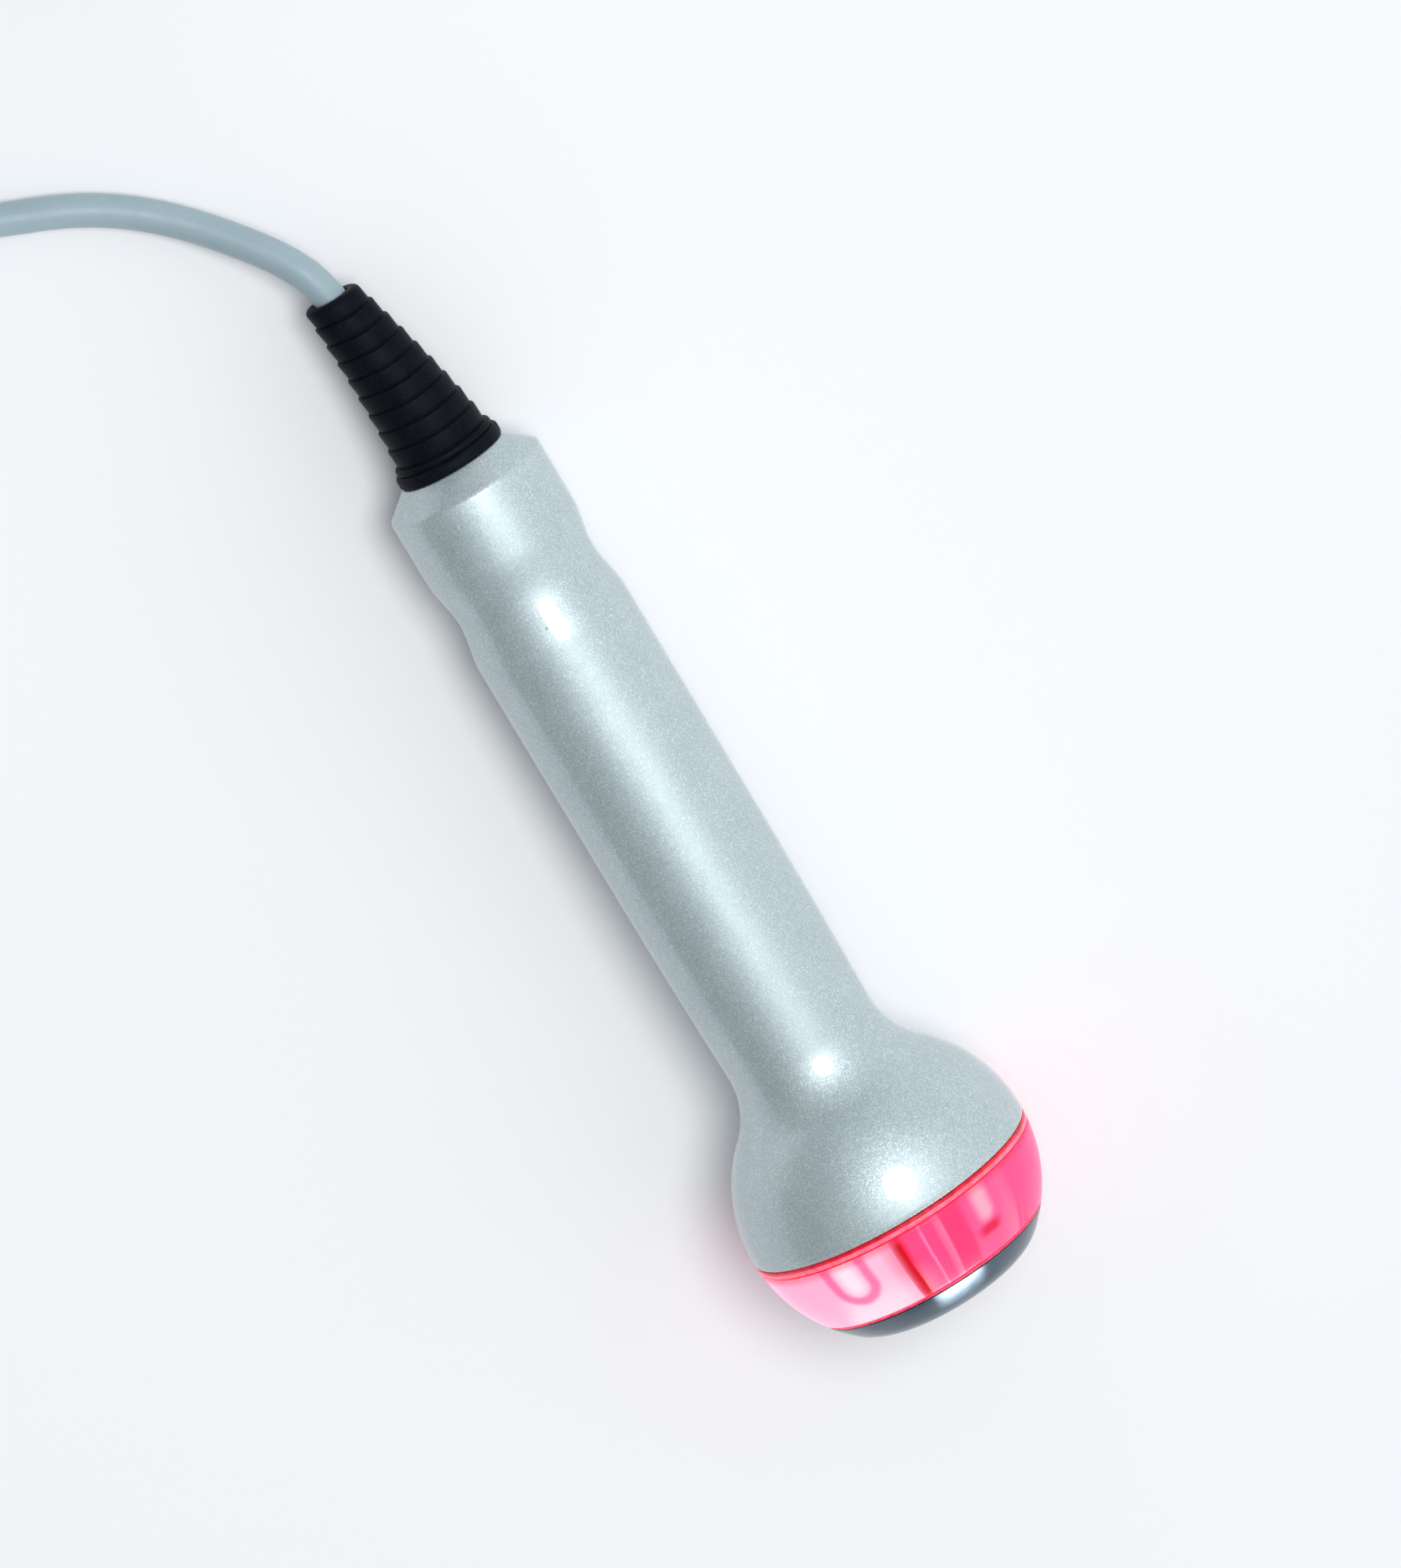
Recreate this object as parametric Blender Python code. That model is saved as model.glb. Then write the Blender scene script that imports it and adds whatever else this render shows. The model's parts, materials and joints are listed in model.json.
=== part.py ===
"""Hand-held ultrasound therapy applicator with its lead and push-pull connector.

The handpiece lies on its head and on the shoulder of its butt, so its axis climbs a little
towards the head. Handpiece parts are drawn about a local axis: local +Z runs from the lead
to the treatment face, local +X points up. Connector parts have their own local axis, +Z
towards the contacts. Dimensions are in millimetres and are scaled once, by MM.
"""

import math

import bmesh
import bpy
from mathutils import Matrix, Vector

MM = 0.001
GAP = 0.3  # clearance between pieces that touch

# Handpiece, outside
HEAD_R = 25.4
HEAD_CENTRE_Z = 140.3
SEAM_Z = 140.9
FACE_Z = 161.0
FACE_EDGE_R = 9.0
HANDLE_R = 13.75
HANDLE_FRONT_R = 13.3
FLARE_R = 14.6
SHOULDER_R = 9.2
SHOULDER_LENGTH = 4.0
WAIST_DEPTH = 1.1
WAIST_START_Z = 15.0
WAIST_END_Z = 32.6
SHELL_WALL = 2.0
BORE_R = 10.6
REAR_WALL = 3.5

# Strain relief
BOOT_LENGTH = 33.2
BOOT_STEPS = 9
BOOT_BASE_R = 8.0
BOOT_TIP_R = 4.9
BEAD_R = 9.4
BEAD_LENGTH = 3.4
BOOT_SIDE_BEND = 3.3
LEAD_BORE_R = 3.05

# Treatment head and indicator ring
RING_FRONT_Z = 154.9
SKIRT_R = 18.0
SKIRT_BORE_R = 16.4
SKIRT_REAR_Z = 131.0
FACE_THICKNESS = 2.7
LED_COUNT = 6
LED_CIRCLE_R = 21.3
LED_FIRST_ANGLE = math.radians(32.0)
LED_R = 1.5
POCKET_R = 2.1

# Lead
LEAD_R = 2.75
COIL_MEAN_R = 28.0
COIL_COLUMNS = 2
COIL_ROWS = 4
COIL_CENTRE = (-222.0, -41.0)
TIE_THICKNESS = 0.9
TIE_WIDTH = 6.0
TAIL_ANGLE = math.radians(115.0)  # where on the coil the lead leaves for the connector
TAIL_LENGTH = 23.7

# Where the lead runs on the surface between the strain relief and its coil (x, y, z)
LEAD_ROUTE = [
    (-97.45, -3.37, 10.38),
    (-102.0, -4.6, 9.6),
    (-106.6, -7.2, 8.0),
    (-111.1, -10.7, 6.2),
    (-115.6, -14.6, 4.5),
    (-120.0, -18.9, 3.3),
    (-124.1, -23.6, 2.8),
    (-127.8, -28.8, 2.75),
    (-130.9, -34.5, 2.75),
    (-133.6, -40.7, 2.75),
    (-136.7, -47.1, 2.75),
    (-141.0, -53.4, 2.75),
    (-146.6, -59.0, 2.75),
    (-153.4, -63.8, 2.75),
    (-161.2, -67.5, 2.75),
    (-169.8, -70.1, 2.75),
    (-179.0, -71.5, 2.9),
    (-188.5, -71.75, 3.3),
    (-196.0, -71.75, 3.7),
    (-201.8, -71.75, 3.95),
]

# Connector
NUT_R = 8.7
SLEEVE_R = 8.2
PLUG_R = 5.9
PIN_COUNT = 6
PIN_CIRCLE_R = 3.0

SIDES = 32
INNER_SIDES = 24
SMALL_SIDES = 16


# ---------------------------------------------------------------- placing

def resting_tilt():
    """Angle at which the head and the butt's shoulder both touch the surface."""
    tilt = 0.0
    for _ in range(20):
        drop = HEAD_R - HANDLE_R * math.cos(tilt)
        tilt = math.asin(drop / (HEAD_CENTRE_Z - SHOULDER_LENGTH))
    return tilt


TILT = resting_tilt()
AXIS_START = Vector((-64.0, 0.0, HEAD_R - HEAD_CENTRE_Z * math.sin(TILT))) * MM
COIL_FLOOR = TIE_THICKNESS + GAP
TAIL_DIRECTION = Vector((math.sin(TAIL_ANGLE), -math.cos(TAIL_ANGLE), 0.0))


def handpiece_frame():
    turn = Matrix.Rotation(math.pi / 2 - TILT, 4, "Y") @ Matrix.Rotation(math.pi, 4, "Z")
    return Matrix.Translation(AXIS_START) @ turn


def connector_frame():
    """Local axis along the lead's last straight, at the height of the widest nut."""
    radius = COIL_MEAN_R + LEAD_R
    start = Vector((COIL_CENTRE[0], COIL_CENTRE[1], 0.0))
    start += radius * Vector((math.cos(TAIL_ANGLE), math.sin(TAIL_ANGLE), 0.0))
    start += TAIL_LENGTH * TAIL_DIRECTION
    start.z = NUT_R
    side = Vector((0.0, 0.0, 1.0)).cross(TAIL_DIRECTION)
    turn = Matrix((Vector((0, 0, 1)), -side, TAIL_DIRECTION)).transposed()
    return Matrix.Translation(start * MM) @ turn.to_4x4()


def empty(name, frame):
    holder = bpy.data.objects.new(name, None)
    bpy.context.collection.objects.link(holder)
    holder.matrix_world = frame
    return holder


# ---------------------------------------------------------------- making

def material(name, colour, roughness, metallic=0.0):
    made = bpy.data.materials.new(name)
    made.use_nodes = True
    shader = made.node_tree.nodes["Principled BSDF"]
    shader.inputs["Base Color"].default_value = (*colour, 1.0)
    shader.inputs["Roughness"].default_value = roughness
    shader.inputs["Metallic"].default_value = metallic
    return made


def place(name, bm, finish, parent, smooth=True):
    """Turn a bmesh drawn in millimetres into a named object under its parent."""
    bmesh.ops.remove_doubles(bm, verts=bm.verts, dist=1e-4)
    bmesh.ops.recalc_face_normals(bm, faces=bm.faces)
    bmesh.ops.scale(bm, vec=(MM, MM, MM), verts=bm.verts)
    mesh = bpy.data.meshes.new(name)
    bm.to_mesh(mesh)
    bm.free()
    if smooth:
        mesh.shade_smooth()
        mesh.set_sharp_from_angle(angle=math.radians(30))
    mesh.materials.append(finish)
    made = bpy.data.objects.new(name, mesh)
    bpy.context.collection.objects.link(made)
    made.parent = parent
    return made


def turned_bmesh(profile, sides, closed):
    """Spin a profile of (z, radius) points about the local Z axis."""
    bm = bmesh.new()
    verts = [bm.verts.new((radius, 0.0, z)) for z, radius in profile]
    edges = [bm.edges.new(pair) for pair in zip(verts, verts[1:])]
    if closed:
        edges.append(bm.edges.new((verts[-1], verts[0])))
    bmesh.ops.spin(
        bm, geom=verts + edges, cent=(0, 0, 0), axis=(0, 0, 1),
        angle=math.tau, steps=sides, use_merge=True,
    )
    return bm


def turned(name, profile, finish, parent, sides=SIDES, closed=True):
    return place(name, turned_bmesh(profile, sides, closed), finish, parent)


def ring_profile(inner, outer, rear, front):
    return [(rear, inner), (rear, outer), (front, outer), (front, inner)]


def disc_profile(radius, rear, front):
    return [(rear, 0.0), (rear, radius), (front, radius), (front, 0.0)]


def box_bmesh(low, high, bevel=0.0):
    bm = bmesh.new()
    bmesh.ops.create_cube(bm, size=1.0)
    low, high = Vector(low), Vector(high)
    for vert in bm.verts:
        vert.co = [a + (b - a) * (c + 0.5) for a, b, c in zip(low, high, vert.co)]
    if bevel:
        bmesh.ops.bevel(bm, geom=bm.edges[:], offset=bevel, segments=1, affect="EDGES")
    return bm


def box(name, low, high, finish, parent, bevel=0.0):
    return place(name, box_bmesh(low, high, bevel), finish, parent, smooth=False)


def extruded_bmesh(outline, rear, front):
    """Extrude an outline of (x, y) points from z = rear to z = front."""
    bm = bmesh.new()
    face = bm.faces.new([bm.verts.new((x, y, rear)) for x, y in outline])
    moved = bmesh.ops.extrude_face_region(bm, geom=[face])["geom"]
    tops = [item for item in moved if isinstance(item, bmesh.types.BMVert)]
    bmesh.ops.translate(bm, vec=(0, 0, front - rear), verts=tops)
    return bm


def combine(target, tools, operation):
    """Boolean the target with the tools in local axes, apply the result, drop the tools."""
    holder, target.parent = target.parent, None
    for tool in tools:
        tool.parent = None
        step = target.modifiers.new(operation.lower(), "BOOLEAN")
        step.operation = operation
        step.solver = "EXACT"
        step.object = tool
    bpy.context.view_layer.update()
    graph = bpy.context.evaluated_depsgraph_get()
    result = bpy.data.meshes.new_from_object(target.evaluated_get(graph))
    result.name = target.name
    target.modifiers.clear()
    target.data = result
    target.parent = holder
    for tool in tools:
        bpy.data.objects.remove(tool)
    return target


def rod_tool(start, end, radius, finish, parent, sides=12):
    """A cylinder from start to end, for drilling or joining."""
    start, end = Vector(start), Vector(end)
    length = (end - start).length
    bm = turned_bmesh(disc_profile(radius, 0.0, length), sides, closed=False)
    turn = (end - start).to_track_quat("Z", "Y").to_matrix().to_4x4()
    bmesh.ops.transform(bm, matrix=Matrix.Translation(start) @ turn, verts=bm.verts)
    return place("tool", bm, finish, parent)


def smooth_line(points, spacing):
    """Points about one spacing apart on a smooth curve through the given points."""
    points = [Vector(p) for p in points]
    ends = [2 * points[0] - points[1]] + points + [2 * points[-1] - points[-2]]
    dense = [points[0]]
    for a, b, c, d in zip(ends, ends[1:], ends[2:], ends[3:]):
        for step in range(1, 21):
            t = step / 20
            dense.append(0.5 * (
                2 * b + (c - a) * t + (2 * a - 5 * b + 4 * c - d) * t * t
                + (3 * b - a - 3 * c + d) * t ** 3
            ))
    lengths = [0.0]
    for a, b in zip(dense, dense[1:]):
        lengths.append(lengths[-1] + (b - a).length)
    count = max(2, round(lengths[-1] / spacing))
    line, index = [], 0
    for step in range(count + 1):
        wanted = lengths[-1] * step / count
        while index < len(dense) - 2 and lengths[index + 1] < wanted:
            index += 1
        share = (wanted - lengths[index]) / (lengths[index + 1] - lengths[index])
        line.append(dense[index].lerp(dense[index + 1], share))
    return line


def tube(name, points, radius, finish, parent=None, resolution=2):
    """A round tube along the points, with filled ends."""
    curve = bpy.data.curves.new(name, "CURVE")
    curve.dimensions = "3D"
    curve.bevel_depth = radius * MM
    curve.bevel_resolution = resolution
    curve.use_fill_caps = True
    spline = curve.splines.new("POLY")
    spline.points.add(len(points) - 1)
    for point, place_at in zip(spline.points, points):
        point.co = (*(Vector(place_at) * MM), 1.0)
    curve.materials.append(finish)
    made = bpy.data.objects.new(name, curve)
    bpy.context.collection.objects.link(made)
    made.parent = parent
    return made


def spring_points(radius, rear, front, turns, per_turn=8):
    count = int(turns * per_turn)
    for step in range(count + 1):
        angle = math.tau * step / per_turn
        height = rear + (front - rear) * step / count
        yield radius * math.cos(angle), radius * math.sin(angle), height


def arc(centre_z, centre_r, radius, start, end, steps):
    """Profile points (z, radius) on an arc, angles measured from +Z towards +radius."""
    for step in range(steps + 1):
        angle = start + (end - start) * step / steps
        yield centre_z + radius * math.cos(angle), centre_r + radius * math.sin(angle)


# ---------------------------------------------------------------- housing

def flare_centre():
    """Centre (z, radius) of the flare that blends the handle into the round head."""
    centre_r = HANDLE_FRONT_R + FLARE_R
    reach = HEAD_R + FLARE_R
    return HEAD_CENTRE_Z - math.sqrt(reach ** 2 - centre_r ** 2), centre_r


def flare_and_head(inset, head_end_z, flare_steps, head_steps):
    """The flare and the round back of the head, inset from the outside surface."""
    flare_z, flare_r = flare_centre()
    meet = math.atan2(flare_r, HEAD_CENTRE_Z - flare_z)
    yield from arc(flare_z, flare_r, FLARE_R + inset, -math.pi / 2, -meet, flare_steps)
    radius = HEAD_R - inset
    end = math.acos((head_end_z - HEAD_CENTRE_Z) / radius)
    head = list(arc(HEAD_CENTRE_Z, 0.0, radius, math.pi - meet, end, head_steps))
    yield from head[1:]


def waist():
    for step in range(1, 8):
        share = step / 8
        z = WAIST_START_Z + share * (WAIST_END_Z - WAIST_START_Z)
        yield z, HANDLE_R - WAIST_DEPTH * math.sin(math.pi * share) ** 2


def handle_shell(finish, parent):
    seat_r, ledge_r, ledge_z = 22.6, 21.3, 135.7
    cone_end = (SHOULDER_LENGTH - 0.5, HANDLE_R - 0.45)
    outside = [(0.0, 5.3), (0.0, SHOULDER_R), (0.5, SHOULDER_R + 0.55), cone_end]
    outside += [(SHOULDER_LENGTH + 0.3, HANDLE_R), (WAIST_START_Z, HANDLE_R), *waist()]
    outside += [(WAIST_END_Z, HANDLE_R), (75.0, HANDLE_R)]
    outside += flare_and_head(0.0, SEAM_Z - 0.4, 5, 7)
    outside += [(SEAM_Z, HEAD_R - 0.4)]
    ledge_start_z = HEAD_CENTRE_Z - math.sqrt((HEAD_R - SHELL_WALL) ** 2 - ledge_r ** 2)
    inside = [(SEAM_Z, seat_r), (ledge_z, seat_r), (ledge_z, ledge_r)]
    inside += reversed(list(flare_and_head(SHELL_WALL, ledge_start_z, 4, 4)))
    inside += [(105.0, BORE_R), (REAR_WALL, BORE_R), (REAR_WALL, 5.3)]
    turned("handle_shell", outside + inside, finish, parent)


# ---------------------------------------------------------------- strain relief

def boot_bend(z):
    """How far the strain relief's centre has moved sideways at height z."""
    share = max(0.0, (-z - BEAD_LENGTH) / (BOOT_LENGTH - BEAD_LENGTH))
    return BOOT_SIDE_BEND * share ** 1.5


def strain_relief(finish, parent):
    profile = [(5.8, LEAD_BORE_R), (5.8, 7.0), (REAR_WALL + GAP, 7.0)]
    profile += [(REAR_WALL + GAP, 5.0), (-GAP, 5.0), (-GAP, BEAD_R - 0.5)]
    profile += [(-1.0, BEAD_R), (-2.5, BEAD_R), (-BEAD_LENGTH, BEAD_R - 0.9)]
    pitch = (BOOT_LENGTH - BEAD_LENGTH) / BOOT_STEPS
    for step in range(BOOT_STEPS):
        radius = BOOT_BASE_R - (BOOT_BASE_R - BOOT_TIP_R) * step / (BOOT_STEPS - 1)
        top = -BEAD_LENGTH - step * pitch
        profile += [(top, radius), (top - pitch + 0.7, radius - 0.1)]
    profile += [(-BOOT_LENGTH, BOOT_TIP_R - 0.6), (-BOOT_LENGTH, LEAD_BORE_R)]
    bm = turned_bmesh(profile, 20, closed=True)
    for z in [-BEAD_LENGTH - k * (BOOT_LENGTH - BEAD_LENGTH) / 5 for k in range(5)]:
        cut = bm.verts[:] + bm.edges[:] + bm.faces[:]
        bmesh.ops.bisect_plane(bm, geom=cut, plane_co=(0, 0, z - 0.05), plane_no=(0, 0, 1))
    for vert in bm.verts:
        vert.co.y += boot_bend(vert.co.z)
    place("strain_relief", bm, finish, parent)


def lead_inside(finish, parent):
    """The lead inside the strain relief and the clamp."""
    heights = [-BOOT_LENGTH + GAP] + [-BOOT_LENGTH + 4.0 * k for k in range(1, 8)] + [0.0, 15.0]
    points = [(0.0, boot_bend(z), z) for z in heights]
    tube("lead_inside", points, LEAD_R, finish, parent, resolution=3)


# ---------------------------------------------------------------- clamp, chassis and board

def screw(name, start, direction, length, finish, parent, head_r=1.6, shank_r=0.8):
    """A pan-head screw: start is under the head, direction runs down the shank."""
    profile = [(-1.0, 0.0), (-1.0, head_r - 0.4), (-0.6, head_r), (0.0, head_r)]
    profile += [(0.0, shank_r), (length, shank_r), (length, 0.0)]
    bm = turned_bmesh(profile, 10, closed=False)
    turn = Vector(direction).to_track_quat("Z", "Y").to_matrix().to_4x4()
    bmesh.ops.transform(bm, matrix=Matrix.Translation(start) @ turn, verts=bm.verts)
    place(name, bm, finish, parent)


CLAMP_SCREW_Y = 4.7
BOARD_SCREW_Z = (38.0, 118.0)
TAB_SCREW_Y = 4.6


def cable_clamp(finish, steel, parent):
    rear, front, top = 8.0, 14.0, 5.5
    for name, low_x, high_x in (("clamp_lower", -top, -0.2), ("clamp_upper", 0.2, top)):
        half = box(name, (low_x, -6.4, rear), (high_x, 6.4, front), finish, parent)
        tools = [rod_tool((0, 0, rear - 1), (0, 0, front + 1), LEAD_BORE_R, finish, parent)]
        for side in (-1, 1):
            at = (side * CLAMP_SCREW_Y, (rear + front) / 2)
            tools.append(rod_tool((-8, *at), (8, *at), 1.1, finish, parent, sides=8))
        combine(half, tools, "DIFFERENCE")
    for number, side in enumerate((-1, 1), 1):
        start = (top + GAP, side * CLAMP_SCREW_Y, (rear + front) / 2)
        screw(f"clamp_screw_{number}", start, (-1, 0, 0), 9.5, steel, parent)


def chassis(finish, parent):
    """A U-shaped rail under the board, with posts for its screws and a tab for the plug."""
    outline = [(-7.0, -7.5), (-7.0, 7.5), (-1.9, 7.5), (-1.9, 6.5), (-5.8, 6.5)]
    outline += [(-5.8, -6.5), (-1.9, -6.5), (-1.9, -7.5)]
    rail = place("chassis", extruded_bmesh(outline, 18.0, 130.9), finish, parent, smooth=False)
    joined = [place("tool", box_bmesh((-7.0, -7.5, 129.4), (8.0, 7.5, 130.9)), finish, parent)]
    joined += [place("tool", box_bmesh((-7.0, -6.3, 7.0), (-5.8, 6.3, 19.0)), finish, parent)]
    for z in BOARD_SCREW_Z:
        post = box_bmesh((-6.5, -2.2, z - 2.2), (-1.9, 2.2, z + 2.2))
        joined.append(place("tool", post, finish, parent))
    combine(rail, joined, "UNION")
    drilled = [rod_tool((-6.0, 0, z), (0, 0, z), 1.1, finish, parent, 8) for z in BOARD_SCREW_Z]
    for side in (-1, 1):
        at = (5.0, side * TAB_SCREW_Y)
        drilled.append(rod_tool((*at, 128), (*at, 132), 1.1, finish, parent, 8))
    drilled.append(rod_tool((0.6, 0, 128), (0.6, 0, 132), 2.6, finish, parent))
    combine(rail, drilled, "DIFFERENCE")


def driver_board(finish, steel, parent):
    board = box("driver_board", (-1.6, -8.0, 26.0), (0.0, 8.0, 124.0), finish, parent)
    holes = [rod_tool((-3, 0, z), (2, 0, z), 1.1, finish, parent, 8) for z in BOARD_SCREW_Z]
    combine(board, holes, "DIFFERENCE")
    for number, z in enumerate(BOARD_SCREW_Z, 1):
        screw(f"board_screw_{number}", (GAP, 0, z), (-1, 0, 0), 5.0, steel, parent)


def board_components(finishes, parent):
    black, ferrite, copper, cream = finishes
    box("lead_header", (GAP, -4.5, 27.0), (5.8, 4.5, 33.0), cream, parent, bevel=0.4)
    box("memory_chip", (GAP, -2.5, 47.0), (1.8, 2.5, 51.0), black, parent, bevel=0.2)
    box("led_driver_chip", (GAP, -3.0, 59.0), (1.4, 3.0, 65.0), black, parent, bevel=0.2)
    box("tuning_capacitor", (GAP, -3.6, 98.0), (6.3, 3.6, 103.0), cream, parent, bevel=0.5)
    box("led_header", (GAP, -2.0, 109.0), (3.3, 2.0, 112.5), cream, parent, bevel=0.3)
    core = [(0.0, 0.0), (0.0, 5.0), (1.0, 5.0), (1.0, 2.0), (6.0, 2.0), (6.0, 5.0)]
    core += [(7.0, 5.0), (7.0, 0.0)]
    upright = Matrix.Translation((GAP, 0, 84.0)) @ Matrix.Rotation(math.pi / 2, 4, "Y")
    for name, profile, closed, finish in (
        ("matching_coil_core", core, False, ferrite),
        ("matching_coil_winding", ring_profile(2.4, 4.5, 1.3, 5.7), True, copper),
    ):
        bm = turned_bmesh(profile, SMALL_SIDES, closed)
        bmesh.ops.transform(bm, matrix=upright, verts=bm.verts)
        place(name, bm, finish, parent)


def inner_wires(finish, parent):
    coax = [(1.3, 0, 121.0), (1.3, 0, 125.5), (0.5, 0, 130.0), (0, 0, 134.5), (0, 0, 147.0)]
    tube("transducer_wire", smooth_line(coax, 3.0), 0.9, finish, parent)
    ribbon = [(2.4, 0, 112.9), (5.5, 0, 116.5), (10.5, 0, 121.0), (15.4, 0, 125.5)]
    ribbon += [(18.6, 0, 129.0), (20.2, 0, 132.5), (20.5, 0, 136.0), (20.5, 0, 140.5)]
    tube("led_wire", smooth_line(ribbon, 3.0), 0.55, finish, parent)


# ---------------------------------------------------------------- head

def face_edge():
    """Centre radius of the face's rounded edge and the angle where it leaves the sphere."""
    along = FACE_Z - FACE_EDGE_R - HEAD_CENTRE_Z
    centre_r = math.sqrt((HEAD_R - FACE_EDGE_R) ** 2 - along ** 2)
    return centre_r, math.atan2(centre_r, along)


def sphere_radius_at(z):
    return math.sqrt(HEAD_R ** 2 - (z - HEAD_CENTRE_Z) ** 2)


def treatment_head(finish, parent):
    shoulder_z = RING_FRONT_Z + 0.9
    centre_r, meet = face_edge()
    start = math.acos((shoulder_z - HEAD_CENTRE_Z) / HEAD_R)
    profile = [(SKIRT_REAR_Z, SKIRT_BORE_R), (SKIRT_REAR_Z, SKIRT_R), (shoulder_z, SKIRT_R)]
    profile += arc(HEAD_CENTRE_Z, 0.0, HEAD_R, start, meet, 3)
    rounded = list(arc(FACE_Z - FACE_EDGE_R, centre_r, FACE_EDGE_R, meet, 0.0, 5))
    profile += rounded[1:] + [(FACE_Z, 0.0)]
    back_z = FACE_Z - FACE_THICKNESS
    profile += [(back_z, 0.0), (back_z, 12.9), (back_z - 3.5, SKIRT_BORE_R)]
    profile = profile[profile.index((back_z, 0.0)):] + profile[:profile.index((back_z, 0.0))]
    turned("treatment_head", profile, finish, parent, closed=False)


def transducer(ceramic, insulator, brass, steel, parent):
    """The crystal behind the face, its insulating ring, its contact and its spring."""
    back_z = FACE_Z - FACE_THICKNESS
    turned("piezo_disc", disc_profile(12.5, back_z - 2.3, back_z - GAP), ceramic, parent, INNER_SIDES,
           closed=False)
    turned("crystal_ring", ring_profile(12.9, 16.0, 150.5, 153.9), insulator, parent, INNER_SIDES)
    turned("contact_carrier", ring_profile(1.4, 16.0, 147.6, 150.2), insulator, parent, INNER_SIDES)
    turned("contact_disc", disc_profile(3.4, 150.5, 151.1), brass, parent, SMALL_SIDES, closed=False)
    coil = spring_points(2.6, 151.8, back_z - 3.0, 3.0)
    tube("contact_spring", list(coil), 0.35, steel, parent, resolution=1)


def rear_plug(finish, steel, parent):
    """The plug that closes the treatment head's skirt and carries the chassis."""
    plug = turned("rear_plug", ring_profile(1.4, 16.0, 131.2, 135.0), finish, parent, INNER_SIDES)
    tools = [
        rod_tool((5.0, side * TAB_SCREW_Y, 130), (5.0, side * TAB_SCREW_Y, 137), 1.1, finish, parent, 8)
        for side in (-1, 1)
    ]
    combine(plug, tools, "DIFFERENCE")
    for number, side in enumerate((-1, 1), 1):
        start = (5.0, side * TAB_SCREW_Y, 129.4 - GAP)
        screw(f"chassis_screw_{number}", start, (0, 0, 1), 5.0, steel, parent)


def head_mounting(nut_finish, flange_finish, board_finish, parent):
    turned("lock_nut", ring_profile(SKIRT_R + GAP, 19.4, 131.6, 135.6), nut_finish, parent)
    flange = turned("head_flange", ring_profile(SKIRT_R + GAP, 22.3, 136.0, 140.9), flange_finish, parent)
    wire_way = rod_tool((20.5, 0, 135), (20.5, 0, 142), 0.95, flange_finish, parent, 10)
    combine(flange, [wire_way], "DIFFERENCE")
    turned("led_board", ring_profile(SKIRT_R + 0.6, 23.6, 141.2, 142.0), board_finish, parent)


def indicator_ring(finish, seal_finish, gasket_finish, parent):
    """The lit ring, with one blind pocket behind its surface for each lamp."""
    rear, inner = 142.6, SKIRT_R + 0.6
    outer = arc(HEAD_CENTRE_Z, 0.0, HEAD_R, math.acos((rear - HEAD_CENTRE_Z) / HEAD_R),
                math.acos((RING_FRONT_Z - HEAD_CENTRE_Z) / HEAD_R), 6)
    ring = turned("indicator_ring", [(RING_FRONT_Z, inner), (rear, inner), *outer], finish, parent)
    tools = []
    for x, y in lamp_places():
        tools.append(rod_tool((x, y, 141.0), (x, y, 148.4), POCKET_R, finish, parent, 10))
    combine(ring, tools, "DIFFERENCE")
    turned("ring_seal", ring_profile(23.9, sphere_radius_at(142.0), 141.2, 142.3), seal_finish, parent)
    gasket = ring_profile(SKIRT_R + GAP, 20.2, RING_FRONT_Z + GAP, RING_FRONT_Z + 0.6)
    turned("face_gasket", gasket, gasket_finish, parent)


def lamp_places():
    for number in range(LED_COUNT):
        angle = LED_FIRST_ANGLE + math.tau * number / LED_COUNT
        yield LED_CIRCLE_R * math.cos(angle), LED_CIRCLE_R * math.sin(angle)


def lamps(finish, parent):
    profile = [(142.3, 0.0), (142.3, 1.75), (143.1, 1.75), (143.1, LED_R), (146.0, LED_R)]
    profile += [(147.0, 0.9), (147.3, 0.0)]
    for number, (x, y) in enumerate(lamp_places(), 1):
        lamp = place(f"led_{number}", turned_bmesh(profile, 8, closed=False), finish, parent)
        lamp.location = (x * MM, y * MM, 0.0)


# ---------------------------------------------------------------- lead on the surface

def free_lead(finish):
    """The lead from the strain relief to its coil, and from the coil to the connector."""
    tube("cord_free", smooth_line(LEAD_ROUTE, 10.0), LEAD_R, finish, resolution=3)
    leave = Vector((COIL_CENTRE[0], COIL_CENTRE[1], 0.0))
    around = Vector((math.cos(TAIL_ANGLE), math.sin(TAIL_ANGLE), 0.0))
    leave += (COIL_MEAN_R + LEAD_R) * around
    ends = [leave + 20.0 * TAIL_DIRECTION, leave + (TAIL_LENGTH - GAP) * TAIL_DIRECTION]
    for end in ends:
        end.z = NUT_R
    tube("cord_tail", ends, LEAD_R, finish, resolution=3)


def lead_coil(finish):
    """The outer shape of the coiled length, as one turned ring."""
    inner = COIL_MEAN_R - LEAD_R * COIL_COLUMNS
    outer = COIL_MEAN_R + LEAD_R * COIL_COLUMNS
    low, high, corner = COIL_FLOOR, COIL_FLOOR + 2 * LEAD_R * COIL_ROWS, 1.8
    profile = [(low, inner + corner), (low, outer - corner), (low + corner, outer)]
    profile += [(high - corner, outer), (high, outer - corner), (high, inner + corner)]
    profile += [(high - corner, inner), (low + corner, inner)]
    ring = turned("cord_coil", profile, finish, None)
    ring.location = (COIL_CENTRE[0] * MM, COIL_CENTRE[1] * MM, 0.0)


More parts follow.
